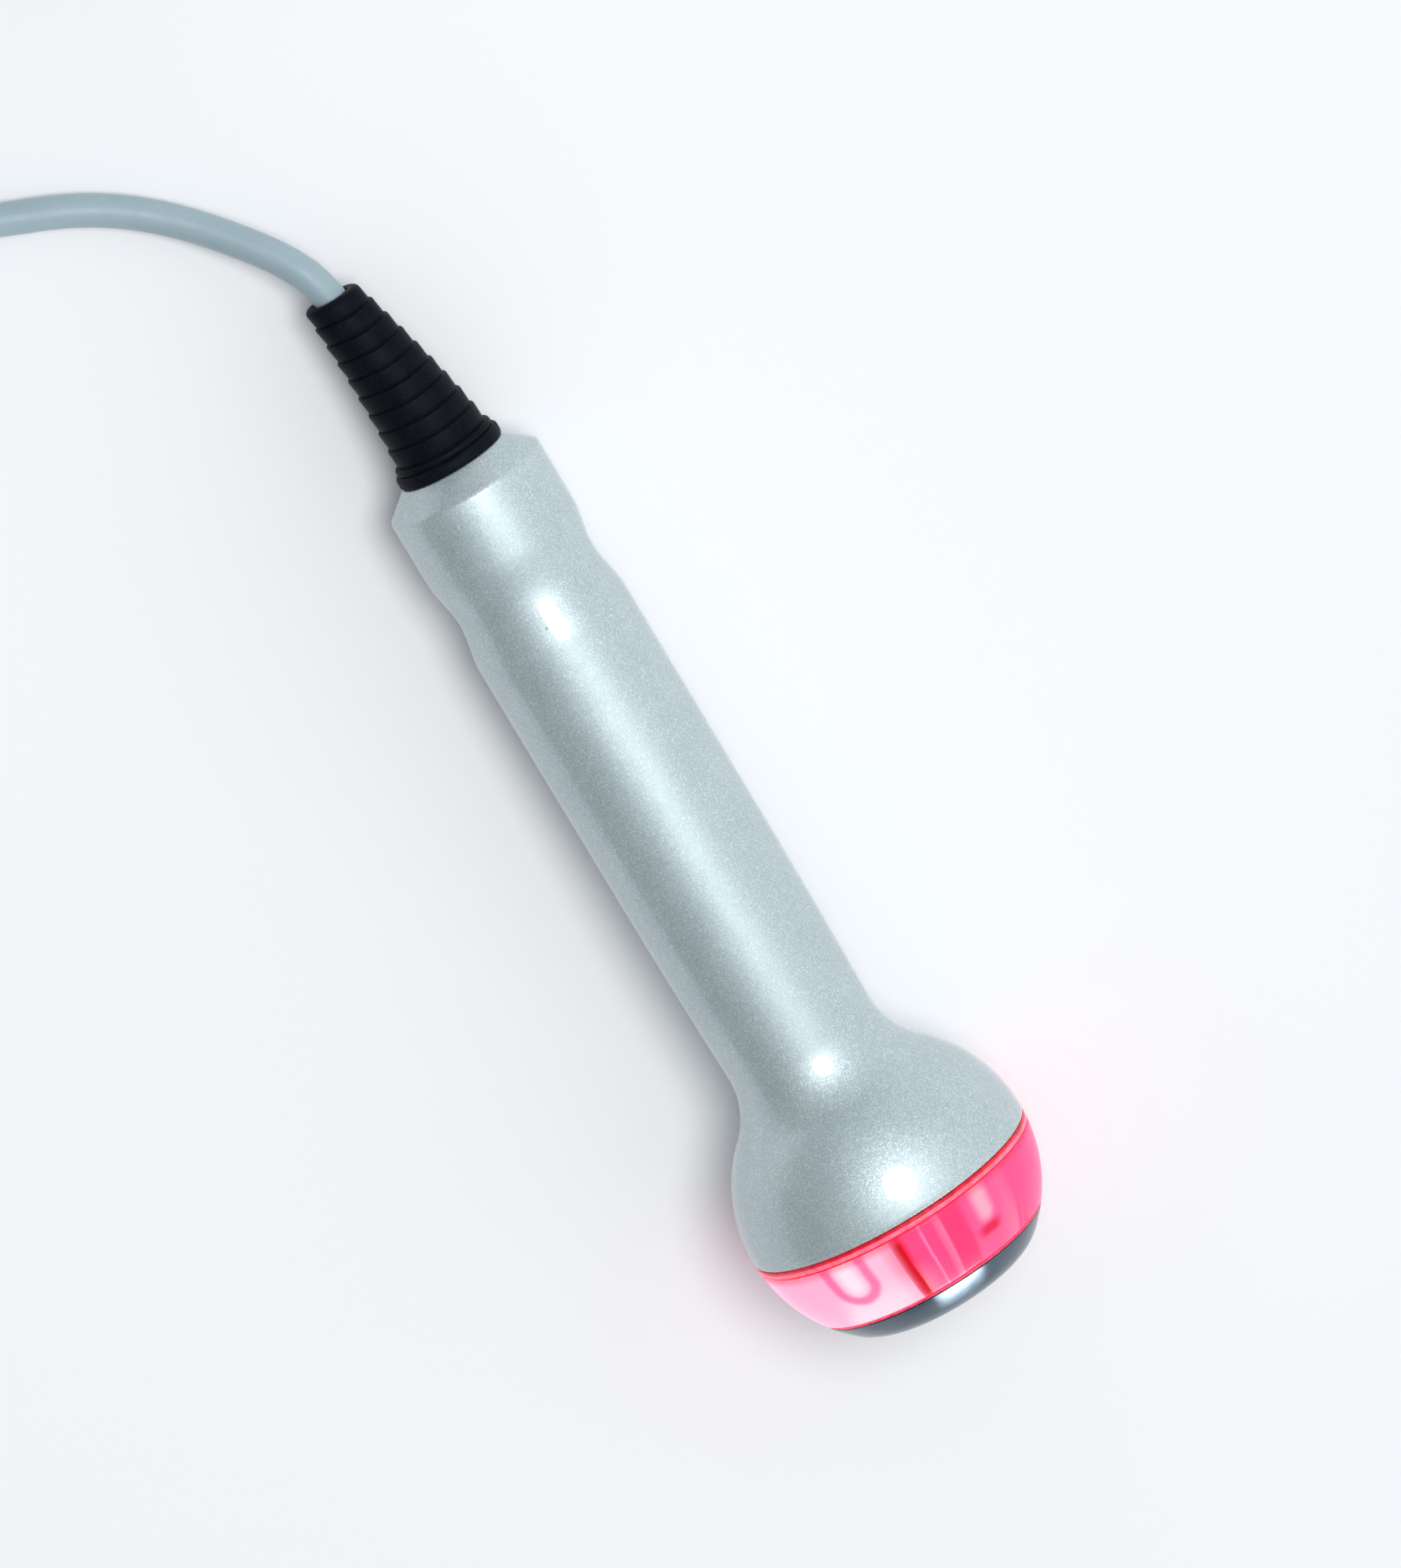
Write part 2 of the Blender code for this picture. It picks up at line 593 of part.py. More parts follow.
def lead_ties(finish):
    """Two straps around the coil's section, which also hold it off the surface."""
    reach = LEAD_R * COIL_COLUMNS + GAP
    top = COIL_FLOOR + 2 * LEAD_R * COIL_ROWS + GAP
    for number, angle in enumerate((math.radians(20.0), math.radians(200.0)), 1):
        low = (COIL_MEAN_R - reach - GAP, -TIE_WIDTH / 2, COIL_FLOOR - GAP)
        high = (COIL_MEAN_R + reach, TIE_WIDTH / 2, top)
        spread = Vector((TIE_THICKNESS, 0.0, TIE_THICKNESS))
        outer = box_bmesh(Vector(low) - spread, Vector(high) + spread)
        strap = place(f"cord_tie_{number}", outer, finish, None, smooth=False)
        hole = box_bmesh(Vector(low) - Vector((0, 2, 0)), Vector(high) + Vector((0, 2, 0)))
        combine(strap, [place("tool", hole, finish, None)], "DIFFERENCE")
        strap.location = (COIL_CENTRE[0] * MM, COIL_CENTRE[1] * MM, 0.0)
        strap.rotation_euler = (0.0, 0.0, angle)


# ---------------------------------------------------------------- connector

def connector(finishes, parent):
    rubber, chrome, nickel, insulator, gold, steel = finishes
    boot = [(0.0, LEAD_BORE_R), (0.0, 4.0), (1.0, 4.3), (20.5, 6.6), (22.0, 6.6)]
    boot += [(22.0, LEAD_BORE_R)]
    turned("connector_boot", boot, rubber, parent, SMALL_SIDES)
    nut = [(22.3, LEAD_BORE_R), (22.3, 7.4), (23.0, 8.0), (24.0, NUT_R), (30.0, NUT_R)]
    nut += [(30.0, 6.0), (24.5, 6.0), (24.5, LEAD_BORE_R)]
    turned("collet_nut", nut, chrome, parent, INNER_SIDES)
    turned("connector_lead", disc_profile(LEAD_R, GAP, 29.5), rubber, parent, 12, closed=False)
    body = [(24.8, LEAD_BORE_R), (24.8, 5.6), (30.3, 5.6), (30.3, 7.4), (32.0, 7.4)]
    body += [(32.0, PLUG_R), (55.0, PLUG_R), (55.6, PLUG_R - 0.5), (55.6, 5.0), (43.0, 5.0)]
    body += [(43.0, 4.0), (30.0, 4.0), (30.0, LEAD_BORE_R)]
    turned("connector_body", body, nickel, parent, INNER_SIDES)
    sleeve = [(35.0, 7.1), (35.0, 7.9), (35.8, SLEEVE_R), (47.4, SLEEVE_R), (48.2, 7.7)]
    sleeve += [(48.2, PLUG_R + GAP), (43.8, PLUG_R + GAP), (43.8, 7.1)]
    turned("latch_sleeve", sleeve, chrome, parent, INNER_SIDES)
    turned("pin_block", disc_profile(4.7, 45.0, 51.9), insulator, parent, INNER_SIDES, closed=False)
    block = bpy.data.objects["pin_block"]
    holes = [
        rod_tool((x, y, 50.2), (x, y, 53.0), 0.85, insulator, parent, 8) for x, y in pin_places()
    ]
    combine(block, holes, "DIFFERENCE")
    pin = [(50.5, 0.0), (50.5, 0.5), (54.4, 0.5), (54.8, 0.3), (54.8, 0.0)]
    for number, (x, y) in enumerate(pin_places(), 1):
        contact = place(f"contact_pin_{number}", turned_bmesh(pin, 6, False), gold, parent)
        contact.location = (x * MM, y * MM, 0.0)
    coil = list(spring_points(6.7, 32.6, 43.2, 4.0, per_turn=10))
    tube("latch_spring", coil, 0.25, steel, parent, resolution=1)


def pin_places():
    for number in range(PIN_COUNT):
        angle = math.tau * number / PIN_COUNT
        yield PIN_CIRCLE_R * math.cos(angle), PIN_CIRCLE_R * math.sin(angle)


# ---------------------------------------------------------------- assembly

def main():
    for old in list(bpy.data.objects):
        bpy.data.objects.remove(old)

    silver = material("silver_paint", (0.50, 0.56, 0.58), 0.28, 0.6)
    metal = material("polished_head", (0.60, 0.65, 0.70), 0.22, 1.0)
    pink = material("lit_ring", (1.0, 0.25, 0.42), 0.25)
    red = material("red_seal", (0.45, 0.02, 0.05), 0.4)
    rubber = material("black_rubber", (0.018, 0.02, 0.025), 0.55)
    jacket = material("lead_jacket", (0.36, 0.44, 0.50), 0.5)
    plastic = material("black_plastic", (0.03, 0.03, 0.032), 0.5)
    insulator = material("insulator", (0.85, 0.84, 0.78), 0.5)
    green = material("circuit_board", (0.02, 0.20, 0.08), 0.45)
    ceramic = material("crystal", (0.72, 0.70, 0.60), 0.5)
    brass = material("brass", (0.72, 0.52, 0.22), 0.3, 1.0)
    copper = material("copper", (0.72, 0.32, 0.14), 0.3, 1.0)
    steel = material("steel", (0.55, 0.56, 0.58), 0.3, 1.0)
    ferrite = material("ferrite", (0.05, 0.05, 0.055), 0.6)
    lens = material("lamp_lens", (1.0, 0.75, 0.78), 0.15)
    chrome = material("chrome", (0.75, 0.76, 0.78), 0.1, 1.0)
    gold = material("gold", (0.90, 0.68, 0.28), 0.2, 1.0)

    handpiece = empty("handpiece_axis", handpiece_frame())
    plug = empty("connector_axis", connector_frame())

    handle_shell(silver, handpiece)
    strain_relief(rubber, handpiece)
    lead_inside(jacket, handpiece)
    cable_clamp(plastic, steel, handpiece)
    chassis(plastic, handpiece)
    driver_board(green, steel, handpiece)
    board_components((plastic, ferrite, copper, insulator), handpiece)
    inner_wires(plastic, handpiece)
    treatment_head(metal, handpiece)
    transducer(ceramic, insulator, brass, steel, handpiece)
    rear_plug(plastic, steel, handpiece)
    head_mounting(brass, plastic, green, handpiece)
    indicator_ring(pink, red, red, handpiece)
    lamps(lens, handpiece)
    free_lead(jacket)
    lead_coil(jacket)
    lead_ties(rubber)
    connector((rubber, chrome, steel, plastic, gold, steel), plug)


main()
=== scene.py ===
"""Looks of a hand-held ultrasound therapy applicator, its lead and its connector.

Pieces are drawn in millimetres about a local axis and scaled once, by MM. The handpiece's
local +Z runs from the lead to the treatment face and its +X points up; the connector's local
+Z runs to its contacts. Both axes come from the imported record's mounts.
"""

import json
import math

import bmesh
import bpy
from mathutils import Matrix, Vector


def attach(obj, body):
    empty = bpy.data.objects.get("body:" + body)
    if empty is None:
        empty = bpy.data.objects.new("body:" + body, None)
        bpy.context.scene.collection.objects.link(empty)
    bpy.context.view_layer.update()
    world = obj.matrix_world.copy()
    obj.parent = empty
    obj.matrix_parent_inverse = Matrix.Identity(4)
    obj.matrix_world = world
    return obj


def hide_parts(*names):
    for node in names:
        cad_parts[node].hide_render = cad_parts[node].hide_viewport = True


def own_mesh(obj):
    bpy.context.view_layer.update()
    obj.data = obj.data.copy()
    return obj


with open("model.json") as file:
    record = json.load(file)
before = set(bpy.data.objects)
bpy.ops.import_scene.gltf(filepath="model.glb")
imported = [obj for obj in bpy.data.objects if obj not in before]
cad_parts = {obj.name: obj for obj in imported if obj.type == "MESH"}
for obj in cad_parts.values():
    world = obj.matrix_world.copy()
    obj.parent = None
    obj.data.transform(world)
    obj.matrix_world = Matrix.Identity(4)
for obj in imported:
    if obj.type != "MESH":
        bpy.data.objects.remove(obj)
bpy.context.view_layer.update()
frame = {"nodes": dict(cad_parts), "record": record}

MM = 0.001
HANDPIECE_BODY = "handpiece"
SLEEVE_BODY = "latch_sleeve"

# Handpiece, from the CAD, in millimetres
FACE_Z = 161.0
HEAD_R = 25.4
HEAD_CENTRE_Z = 140.3
SEAM_Z = 140.9
FACE_EDGE_R = 9.0
HANDLE_R = 13.75
HANDLE_FRONT_R = 13.3
FLARE_R = 14.6
SHOULDER_R = 9.2
SHOULDER_LENGTH = 4.0
WAIST_DEPTH = 1.1
WAIST_START_Z = 15.0
WAIST_END_Z = 32.6
TAPER_START_Z = 75.0
SHELL_WALL = 2.0
BORE_R = 10.6
REAR_WALL = 3.5
SEAT_R = 22.6
LEDGE_R = 21.3
LEDGE_Z = 135.7
BOOT_LENGTH = 33.2
BOOT_STEPS = 9
BOOT_BASE_R = 8.0
BOOT_TIP_R = 4.9
BEAD_R = 9.4
BEAD_LENGTH = 3.4
BOOT_SIDE_BEND = 3.3
LEAD_BORE_R = 3.05
RING_REAR_Z = 142.6
RING_FRONT_Z = 154.9
RING_BORE_R = 18.6
SKIRT_R = 18.0

# Lead
LEAD_R = 2.75
COIL_CENTRE = (-222.0, -41.0)
COIL_OUTER_R = 30.75
COIL_INNER_R = 25.25
COIL_FIRST_Z = 3.95
COIL_START = 270.0
COIL_END = 115.0
COIL_MIDDLE_R = (COIL_OUTER_R + COIL_INNER_R) / 2
COIL_TURNS = 7
POINTS_PER_TURN = 40
SHIFT_ANGLE = 36.0  # how much of a turn the lead takes to move to its next place
FIRST_SHIFT = 300.0
SHIFT_STEP = 339.0

LEAD_ROUTE = [
    (-97.45, -3.37, 10.38),
    (-102.0, -4.6, 9.6),
    (-106.6, -7.2, 8.0),
    (-111.1, -10.7, 6.2),
    (-115.6, -14.6, 4.5),
    (-120.0, -18.9, 3.3),
    (-124.1, -23.6, 2.8),
    (-127.8, -28.8, 2.75),
    (-130.9, -34.5, 2.75),
    (-133.6, -40.7, 2.75),
    (-136.7, -47.1, 2.75),
    (-141.0, -53.4, 2.75),
    (-146.6, -59.0, 2.75),
    (-153.4, -63.8, 2.75),
    (-161.2, -67.5, 2.75),
    (-169.8, -70.1, 2.75),
    (-179.0, -71.5, 2.9),
    (-188.5, -71.75, 3.3),
    (-196.0, -71.75, 3.7),
    (-201.8, -71.75, 3.95),
]

# Connector
CONTACT_FACE_Z = 51.9
NUT_R = 8.7
SLEEVE_R = 8.2
PLUG_R = 5.9
SPRING_R = 6.7
SPRING_WIRE_R = 0.25
SPRING_REAR_Z = 32.6
SPRING_FRONT_Z = 43.2
SPRING_TURNS = 4

# Straps
STRAP_ANGLES = (20.0, 200.0)
STRAP_WIDTHS = (-3.0, -2.85, -1.0, 1.0, 2.85, 3.0)  # across the strap, from edge to edge
STRAP_EDGE_THIN = 0.12  # share of the thickness taken off each side at the edges

# View
LEAN = math.radians(12.75)  # the handpiece's axis leans away from the viewer
ROLL = math.radians(59.0)  # how far the handpiece points down to the right in the picture
VIEW_DISTANCE = 2.5
VIEW_LENS = 356.0
VIEW_CENTRE = (0.0401, -0.0521)  # of the picture, right and up from the handpiece's origin

# Lights, in metres and watts
LIT_Z = 80.0  # millimetres along the handle that the lights face
KEY_ASIDE = math.radians(10)
KEY_DISTANCE = 1.6
KEY_SIZE = 0.72
KEY_POWER = 15.0
FACE_LIGHT_ASIDE = math.radians(5.5)
FACE_LIGHT_DISTANCE = 1.2
FACE_LIGHT_WIDTH = 0.56
FACE_LIGHT_HEIGHT = 0.17
FACE_LIGHT_POWER = 6.0
SKY_COLOUR = (0.93, 0.96, 1.0, 1.0)
SKY_UP_SHARE = 0.3
SKY_RAMP = (-0.8, 0.9, 0.2, 0.85)  # strength 0.2 at -0.8 of the way right, 0.85 at 0.9


# ---------------------------------------------------------------- axes

def mount_axes(mount_name, along):
    """Axes whose +Z is a mount's axis, with their origin that many millimetres behind it."""
    mount = next(m for m in frame["record"]["mounts"] if m["name"] == mount_name)
    axis = Vector(mount["axis"]).normalized()
    up = Vector((0.0, 0.0, 1.0))
    up = (up - axis * up.dot(axis)).normalized()
    turn = Matrix((up, axis.cross(up), axis)).transposed()
    return Matrix.Translation(Vector(mount["pos_m"]) - axis * along * MM) @ turn.to_4x4()


HANDPIECE = mount_axes("treatment_face", FACE_Z)
CONNECTOR = mount_axes("connector_face", CONTACT_FACE_Z)


def boot_bend(z):
    """How far the strain relief's centre has moved sideways at height z."""
    share = max(0.0, (-z - BEAD_LENGTH) / (BOOT_LENGTH - BEAD_LENGTH))
    return BOOT_SIDE_BEND * share ** 1.5


# ---------------------------------------------------------------- camera

def view_axes():
    """Right, up and back of a view across the handpiece, which leans away from it."""
    axis = HANDPIECE.to_3x3().col[2].normalized()
    elevation = math.pi / 2 - LEAN - math.asin(axis.z)
    forward = Vector((math.cos(elevation), 0.0, -math.sin(elevation)))
    along = (axis - forward * axis.dot(forward)).normalized()
    across = along.cross(-forward) * -1.0
    right = math.cos(ROLL) * along + math.sin(ROLL) * across
    up = -math.sin(ROLL) * along + math.cos(ROLL) * across
    return right, up, -forward


def make_camera():
    right, up, back = view_axes()
    target = HANDPIECE.translation + VIEW_CENTRE[0] * right + VIEW_CENTRE[1] * up
    data = bpy.data.cameras.new("view")
    data.lens = VIEW_LENS
    data.clip_start, data.clip_end = 0.1, 50.0
    camera = bpy.data.objects.new("view", data)
    bpy.context.collection.objects.link(camera)
    turn = Matrix((right, up, back)).transposed().to_4x4()
    camera.matrix_world = Matrix.Translation(target + back * VIEW_DISTANCE) @ turn
    bpy.context.scene.camera = camera


# ---------------------------------------------------------------- materials

class Surface:
    """A material being made: its shader, and short ways to add the nodes that feed it.

    Its patterns lie in the handpiece's axes, in metres."""

    def __init__(self, name, colour, roughness, metallic=0.0, **sockets):
        self.made = bpy.data.materials.new(name)
        self.made.use_nodes = True
        self.tree = self.made.node_tree
        self.shader = self.tree.nodes["Principled BSDF"]
        self.set(self.shader, Base_Color=(*colour, 1.0), Roughness=roughness, Metallic=metallic)
        self.set(self.shader, **sockets)
        local = self.node("ShaderNodeMapping", vector_type="TEXTURE")
        local.inputs["Location"].default_value = HANDPIECE.translation
        local.inputs["Rotation"].default_value = HANDPIECE.to_euler()
        self.link(self.node("ShaderNodeTexCoord").outputs["Object"], local.inputs["Vector"])
        self.place = local.outputs["Vector"]

    def set(self, node, **sockets):
        for name, value in sockets.items():
            node.inputs[name.replace("_", " ")].default_value = value

    def node(self, kind, **settings):
        made = self.tree.nodes.new(kind)
        for name, value in settings.items():
            setattr(made, name, value)
        return made

    def link(self, source, target):
        self.tree.links.new(source, target)

    def feed(self, socket, source):
        self.link(source, self.shader.inputs[socket])

    def noise(self, size, detail=3.0, vector=None, roughness=0.5):
        """Cloudy values whose features are about that many millimetres across."""
        made = self.node("ShaderNodeTexNoise")
        self.set(made, Scale=1.0 / (size * MM), Detail=detail, Roughness=roughness)
        self.link(vector or self.place, made.inputs["Vector"])
        return made.outputs["Fac"]

    def cells(self, size, output="Distance", vector=None):
        """Values of cells about that many millimetres across."""
        made = self.node("ShaderNodeTexVoronoi")
        self.set(made, Scale=1.0 / (size * MM))
        self.link(vector or self.place, made.inputs["Vector"])
        return made.outputs[output]

    def ramp(self, value, stops, interpolation="LINEAR"):
        made = self.node("ShaderNodeValToRGB")
        made.color_ramp.interpolation = interpolation
        elements = made.color_ramp.elements
        while len(elements) < len(stops):
            elements.new(1.0)
        for element, (position, colour) in zip(elements, stops):
            element.position = position
            element.color = (*colour, 1.0) if len(colour) == 3 else colour
        self.link(value, made.inputs["Fac"])
        return made.outputs["Color"]

    def grey(self, value, low, high):
        """The value's middle range, spread from low to high."""
        made = self.node("ShaderNodeMapRange", clamp=True)
        self.set(made, From_Min=0.3, From_Max=0.7, To_Min=low, To_Max=high)
        self.link(value, made.inputs["Value"])
        return made.outputs["Result"]

    def fit(self, value, start, end, low=0.0, high=1.0, smooth=True):
        made = self.node("ShaderNodeMapRange", clamp=True)
        made.interpolation_type = "SMOOTHSTEP" if smooth else "LINEAR"
        self.set(made, From_Min=start, From_Max=end, To_Min=low, To_Max=high)
        self.link(value, made.inputs["Value"])
        return made.outputs["Result"]

    def sum(self, operation, first, second=0.0):
        made = self.node("ShaderNodeMath", operation=operation)
        for socket, value in zip(made.inputs, (first, second)):
            if isinstance(value, (int, float)):
                socket.default_value = value
            else:
                self.link(value, socket)
        return made.outputs["Value"]

    def mix(self, factor, first, second, blend="MIX"):
        made = self.node("ShaderNodeMix", data_type="RGBA", blend_type=blend)
        if isinstance(factor, (int, float)):
            made.inputs[0].default_value = factor
        else:
            self.link(factor, made.inputs[0])
        for socket, value in zip((made.inputs[6], made.inputs[7]), (first, second)):
            if isinstance(value, tuple):
                socket.default_value = (*value, 1.0)
            else:
                self.link(value, socket)
        return made.outputs[2]

    def axes(self):
        """The separate X, Y and Z of the place on the piece."""
        made = self.node("ShaderNodeSeparateXYZ")
        self.link(self.place, made.inputs["Vector"])
        return made.outputs

    def bump(self, height, strength, distance=0.0002, socket="Normal"):
        made = self.node("ShaderNodeBump")
        self.set(made, Strength=strength, Distance=distance)
        self.link(height, made.inputs["Height"])
        self.feed(socket, made.outputs["Normal"])
        return made


def pearl_paint():
    """Silver paint with fine flakes under a clear gloss coat."""
    paint = Surface(
        "silver_pearl_paint", (0.5, 0.56, 0.58), 0.46, 0.66,
        Coat_Weight=1.0, Coat_Roughness=0.07, Coat_IOR=1.55,
        Specular_Tint=(0.20, 0.25, 0.27, 1.0),
    )
    flake = paint.cells(0.14, "Color")
    centred = paint.node("ShaderNodeVectorMath", operation="SUBTRACT")
    centred.inputs[1].default_value = (0.5, 0.5, 0.5)
    paint.link(flake, centred.inputs[0])
    scaled = paint.node("ShaderNodeVectorMath", operation="SCALE")
    scaled.inputs["Scale"].default_value = 0.10
    paint.link(centred.outputs["Vector"], scaled.inputs[0])
    geometry = paint.node("ShaderNodeNewGeometry")
    tilted = paint.node("ShaderNodeVectorMath", operation="ADD")
    paint.link(geometry.outputs["Normal"], tilted.inputs[0])
    paint.link(scaled.outputs["Vector"], tilted.inputs[1])
    level = paint.node("ShaderNodeVectorMath", operation="NORMALIZE")
    paint.link(tilted.outputs["Vector"], level.inputs[0])
    paint.feed("Normal", level.outputs["Vector"])
    shine = paint.node("ShaderNodeSeparateColor")
    paint.link(flake, shine.inputs["Color"])
    tone = paint.ramp(shine.outputs["Red"], [
        (0.0, (0.46, 0.55, 0.57)), (0.7, (0.55, 0.65, 0.67)), (1.0, (0.82, 0.90, 0.91)),
    ])
    cloud = paint.ramp(paint.noise(9.0), [(0.35, (0.94, 0.96, 0.965)), (0.7, (1.0, 1.0, 1.0))])
    toned = paint.mix(1.0, tone, cloud, "MULTIPLY")
    chip = paint.node("ShaderNodeVectorMath", operation="DISTANCE")
    paint.link(paint.place, chip.inputs[0])
    chip.inputs[1].default_value = Vector((HANDLE_R - 0.1, 0.8, 28.8)) * MM
    mark = paint.fit(chip.outputs["Value"], 0.00025, 0.0005, 1.0, 0.0)
    paint.feed("Base Color", paint.mix(mark, toned, (0.05, 0.06, 0.07)))
    paint.feed("Roughness", paint.grey(paint.noise(5.0), 0.49, 0.55))
    return paint.made


def rubber(name, colour=(0.003, 0.004, 0.007), size=0.35):
    """Moulded black rubber with a fine spark-eroded grain, lighter cloudy patches and a painted
    teal sheen in fine speckles.
    """
    skin = Surface(name, colour, 0.5, Specular_IOR_Level=0.05, Sheen_Weight=0.012,
                   Sheen_Roughness=0.3, Sheen_Tint=(0.62, 0.66, 0.95, 1.0))
    grain = skin.noise(size, 4.0, roughness=0.65)
    cloudy_tone = skin.noise(3.5, 3.0)
    base = skin.ramp(cloudy_tone, [
        (0.35, colour), (0.75, tuple(c * 1.6 + 0.001 for c in colour)),
    ])
    # painted sheen: teal-tinted speckles mixed into the base colour where the grain is high
    skin.feed("Base Color", skin.mix(skin.fit(grain, 0.5, 0.75), base, (0.008, 0.016, 0.02)))
    skin.feed("Roughness", skin.grey(grain, 0.36, 0.62))
    skin.bump(grain, 0.35, 0.0001)
    return skin.made


def lead_jacket():
    """Matt blue-grey cable jacket."""
    jacket = Surface("lead_jacket_pvc", (0.30, 0.43, 0.50), 0.48, Sheen_Weight=0.15)
    fine = jacket.noise(0.3, 3.0)
    wide = jacket.noise(14.0, 2.0)
    base = jacket.ramp(wide, [(0.3, (0.30, 0.405, 0.45)), (0.7, (0.335, 0.44, 0.49))])
    pale = jacket.fit(fine, 0.55, 0.8, 0.0, 0.3)
    jacket.feed("Base Color", jacket.mix(pale, base, (0.42, 0.53, 0.57)))
    jacket.feed("Roughness", jacket.grey(jacket.noise(2.0), 0.42, 0.56))
    jacket.bump(fine, 0.12, 0.00008)
    return jacket.made


LAMP_ANGLE = math.radians(32.0)
LAMP_PITCH = math.tau / 6
LAMP_REACH_Z = 147.2
LAMP_R = 22.8


def lit_plastic():
    """Clear pink-red ring, lit from six lamp pockets and crossed by moulded ribs."""
    ring = Surface("lit_ring_plastic", (1.0, 0.3, 0.45), 0.3,
                   Coat_Weight=0.12, Coat_Roughness=0.04,
                   Specular_IOR_Level=0.1, Emission_Strength=0.93)
    x, y, z = ring.axes()
    turned = ring.sum("SUBTRACT", ring.sum("ARCTAN2", y, x), LAMP_ANGLE - LAMP_PITCH / 2)
    share = ring.sum("DIVIDE", ring.sum("FLOORED_MODULO", turned, LAMP_PITCH), LAMP_PITCH)
    wobble = ring.sum("MULTIPLY", ring.sum("SUBTRACT", ring.noise(5.0), 0.5), 0.02)
    share = ring.sum("ADD", share, wobble)
    # across a sector, from rib to rib, with a lamp at its middle
    deep, rose, pale = (1.0, 0.022, 0.12), (1.0, 0.07, 0.24), (1.0, 0.25, 0.49)
    bands = ring.ramp(share, [
        (0.0, rose), (0.05, rose), (0.08, (0.95, 0.02, 0.06)), (0.09, (0.66, 0.0, 0.012)),
        (0.13, (0.62, 0.0, 0.01)), (0.15, (0.80, 0.01, 0.04)), (0.158, pale), (0.175, rose),
        (0.21, rose), (0.24, (1.0, 0.5, 0.68)), (0.45, pale), (0.62, pale), (0.655, deep),
        (0.79, deep), (0.805, (1.0, 0.5, 0.66)), (0.83, pale), (0.86, rose), (0.93, rose),
        (0.94, pale), (0.96, rose),
    ])
    # painted light and shade: the ring is painted brighter and paler towards the handpiece's +Y
    # side and deeper on the -Y side, from a lit and a shaded copy of its bands
    painted_light_side = ring.fit(ring.sum("DIVIDE", y, LAMP_R * MM), -0.1, 0.45)
    away = ring.fit(ring.sum("ABSOLUTE", ring.sum("SUBTRACT", share, 0.5)), 0.30, 0.40, 1.0, 0.0)
    painted_lit_bands = ring.mix(ring.sum("MULTIPLY", away, 0.85), bands, (1.0, 0.60, 0.79))
    # painted shade: the deeper copy of the bands, for the -Y side
    right = ring.mix(ring.sum("MULTIPLY", away, 0.7), bands, (1.0, 0.06, 0.22))
    body = ring.mix(painted_light_side, right, painted_lit_bands)
    # painted highlight: a near-white sheet over the front of the ring towards its lit +Y side,
    # broken only at the rib
    strip = ring.fit(ring.sum("ABSOLUTE", ring.sum("SUBTRACT", share, 0.118)), 0.03, 0.042)
    front = ring.sum("MULTIPLY", ring.fit(z, 147.0 * MM, 153.5 * MM), strip)
    painted_highlight_front = ring.sum("MULTIPLY", ring.sum("MULTIPLY", front, painted_light_side), 0.8)
    body = ring.mix(painted_highlight_front, body, (1.0, 0.78, 0.88))
    # the ribs don't show where the ring turns away at its sides; there its pink is painted paler
    # on the lit +Y side and deeper on the shaded -Y side
    side = ring.sum("ABSOLUTE", ring.sum("DIVIDE", y, LAMP_R * MM))
    side = ring.fit(side, 0.64, 0.78, 0.0, 0.95)
    body = ring.mix(side, body, ring.mix(painted_light_side, (1.0, 0.09, 0.28), (1.0, 0.45, 0.67)))
    # lamp pockets: round-ended outlines with a bright core, both painted stronger towards the lit
    # +Y side
    across = ring.sum("MULTIPLY", ring.sum("SUBTRACT", share, 0.5), LAMP_PITCH * LAMP_R * MM)
    below = ring.sum("MAXIMUM", ring.sum("SUBTRACT", z, LAMP_REACH_Z * MM), 0.0)
    squared = ring.sum("ADD", ring.sum("POWER", across, 2.0), ring.sum("POWER", below, 2.0))
    reach = ring.sum("SQRT", squared)
    rim = ring.sum("ABSOLUTE", ring.sum("SUBTRACT", reach, 3.1 * MM))
    seen_rim = ring.fit(painted_light_side, 0.0, 1.0, 0.35, 0.75, smooth=False)
    outline = ring.sum("MULTIPLY", ring.fit(rim, 0.3 * MM, 1.35 * MM, 1.0, 0.0), seen_rim)
    lined = ring.mix(outline, body, (0.93, 0.09, 0.32))
    core = ring.sum("MULTIPLY", ring.fit(reach, 0.4 * MM, 2.3 * MM, 0.9, 0.0),
                    ring.fit(painted_light_side, 0.0, 1.0, 0.45, 1.0, smooth=False))
    glow = ring.mix(core, lined, (1.0, 0.84, 0.93))
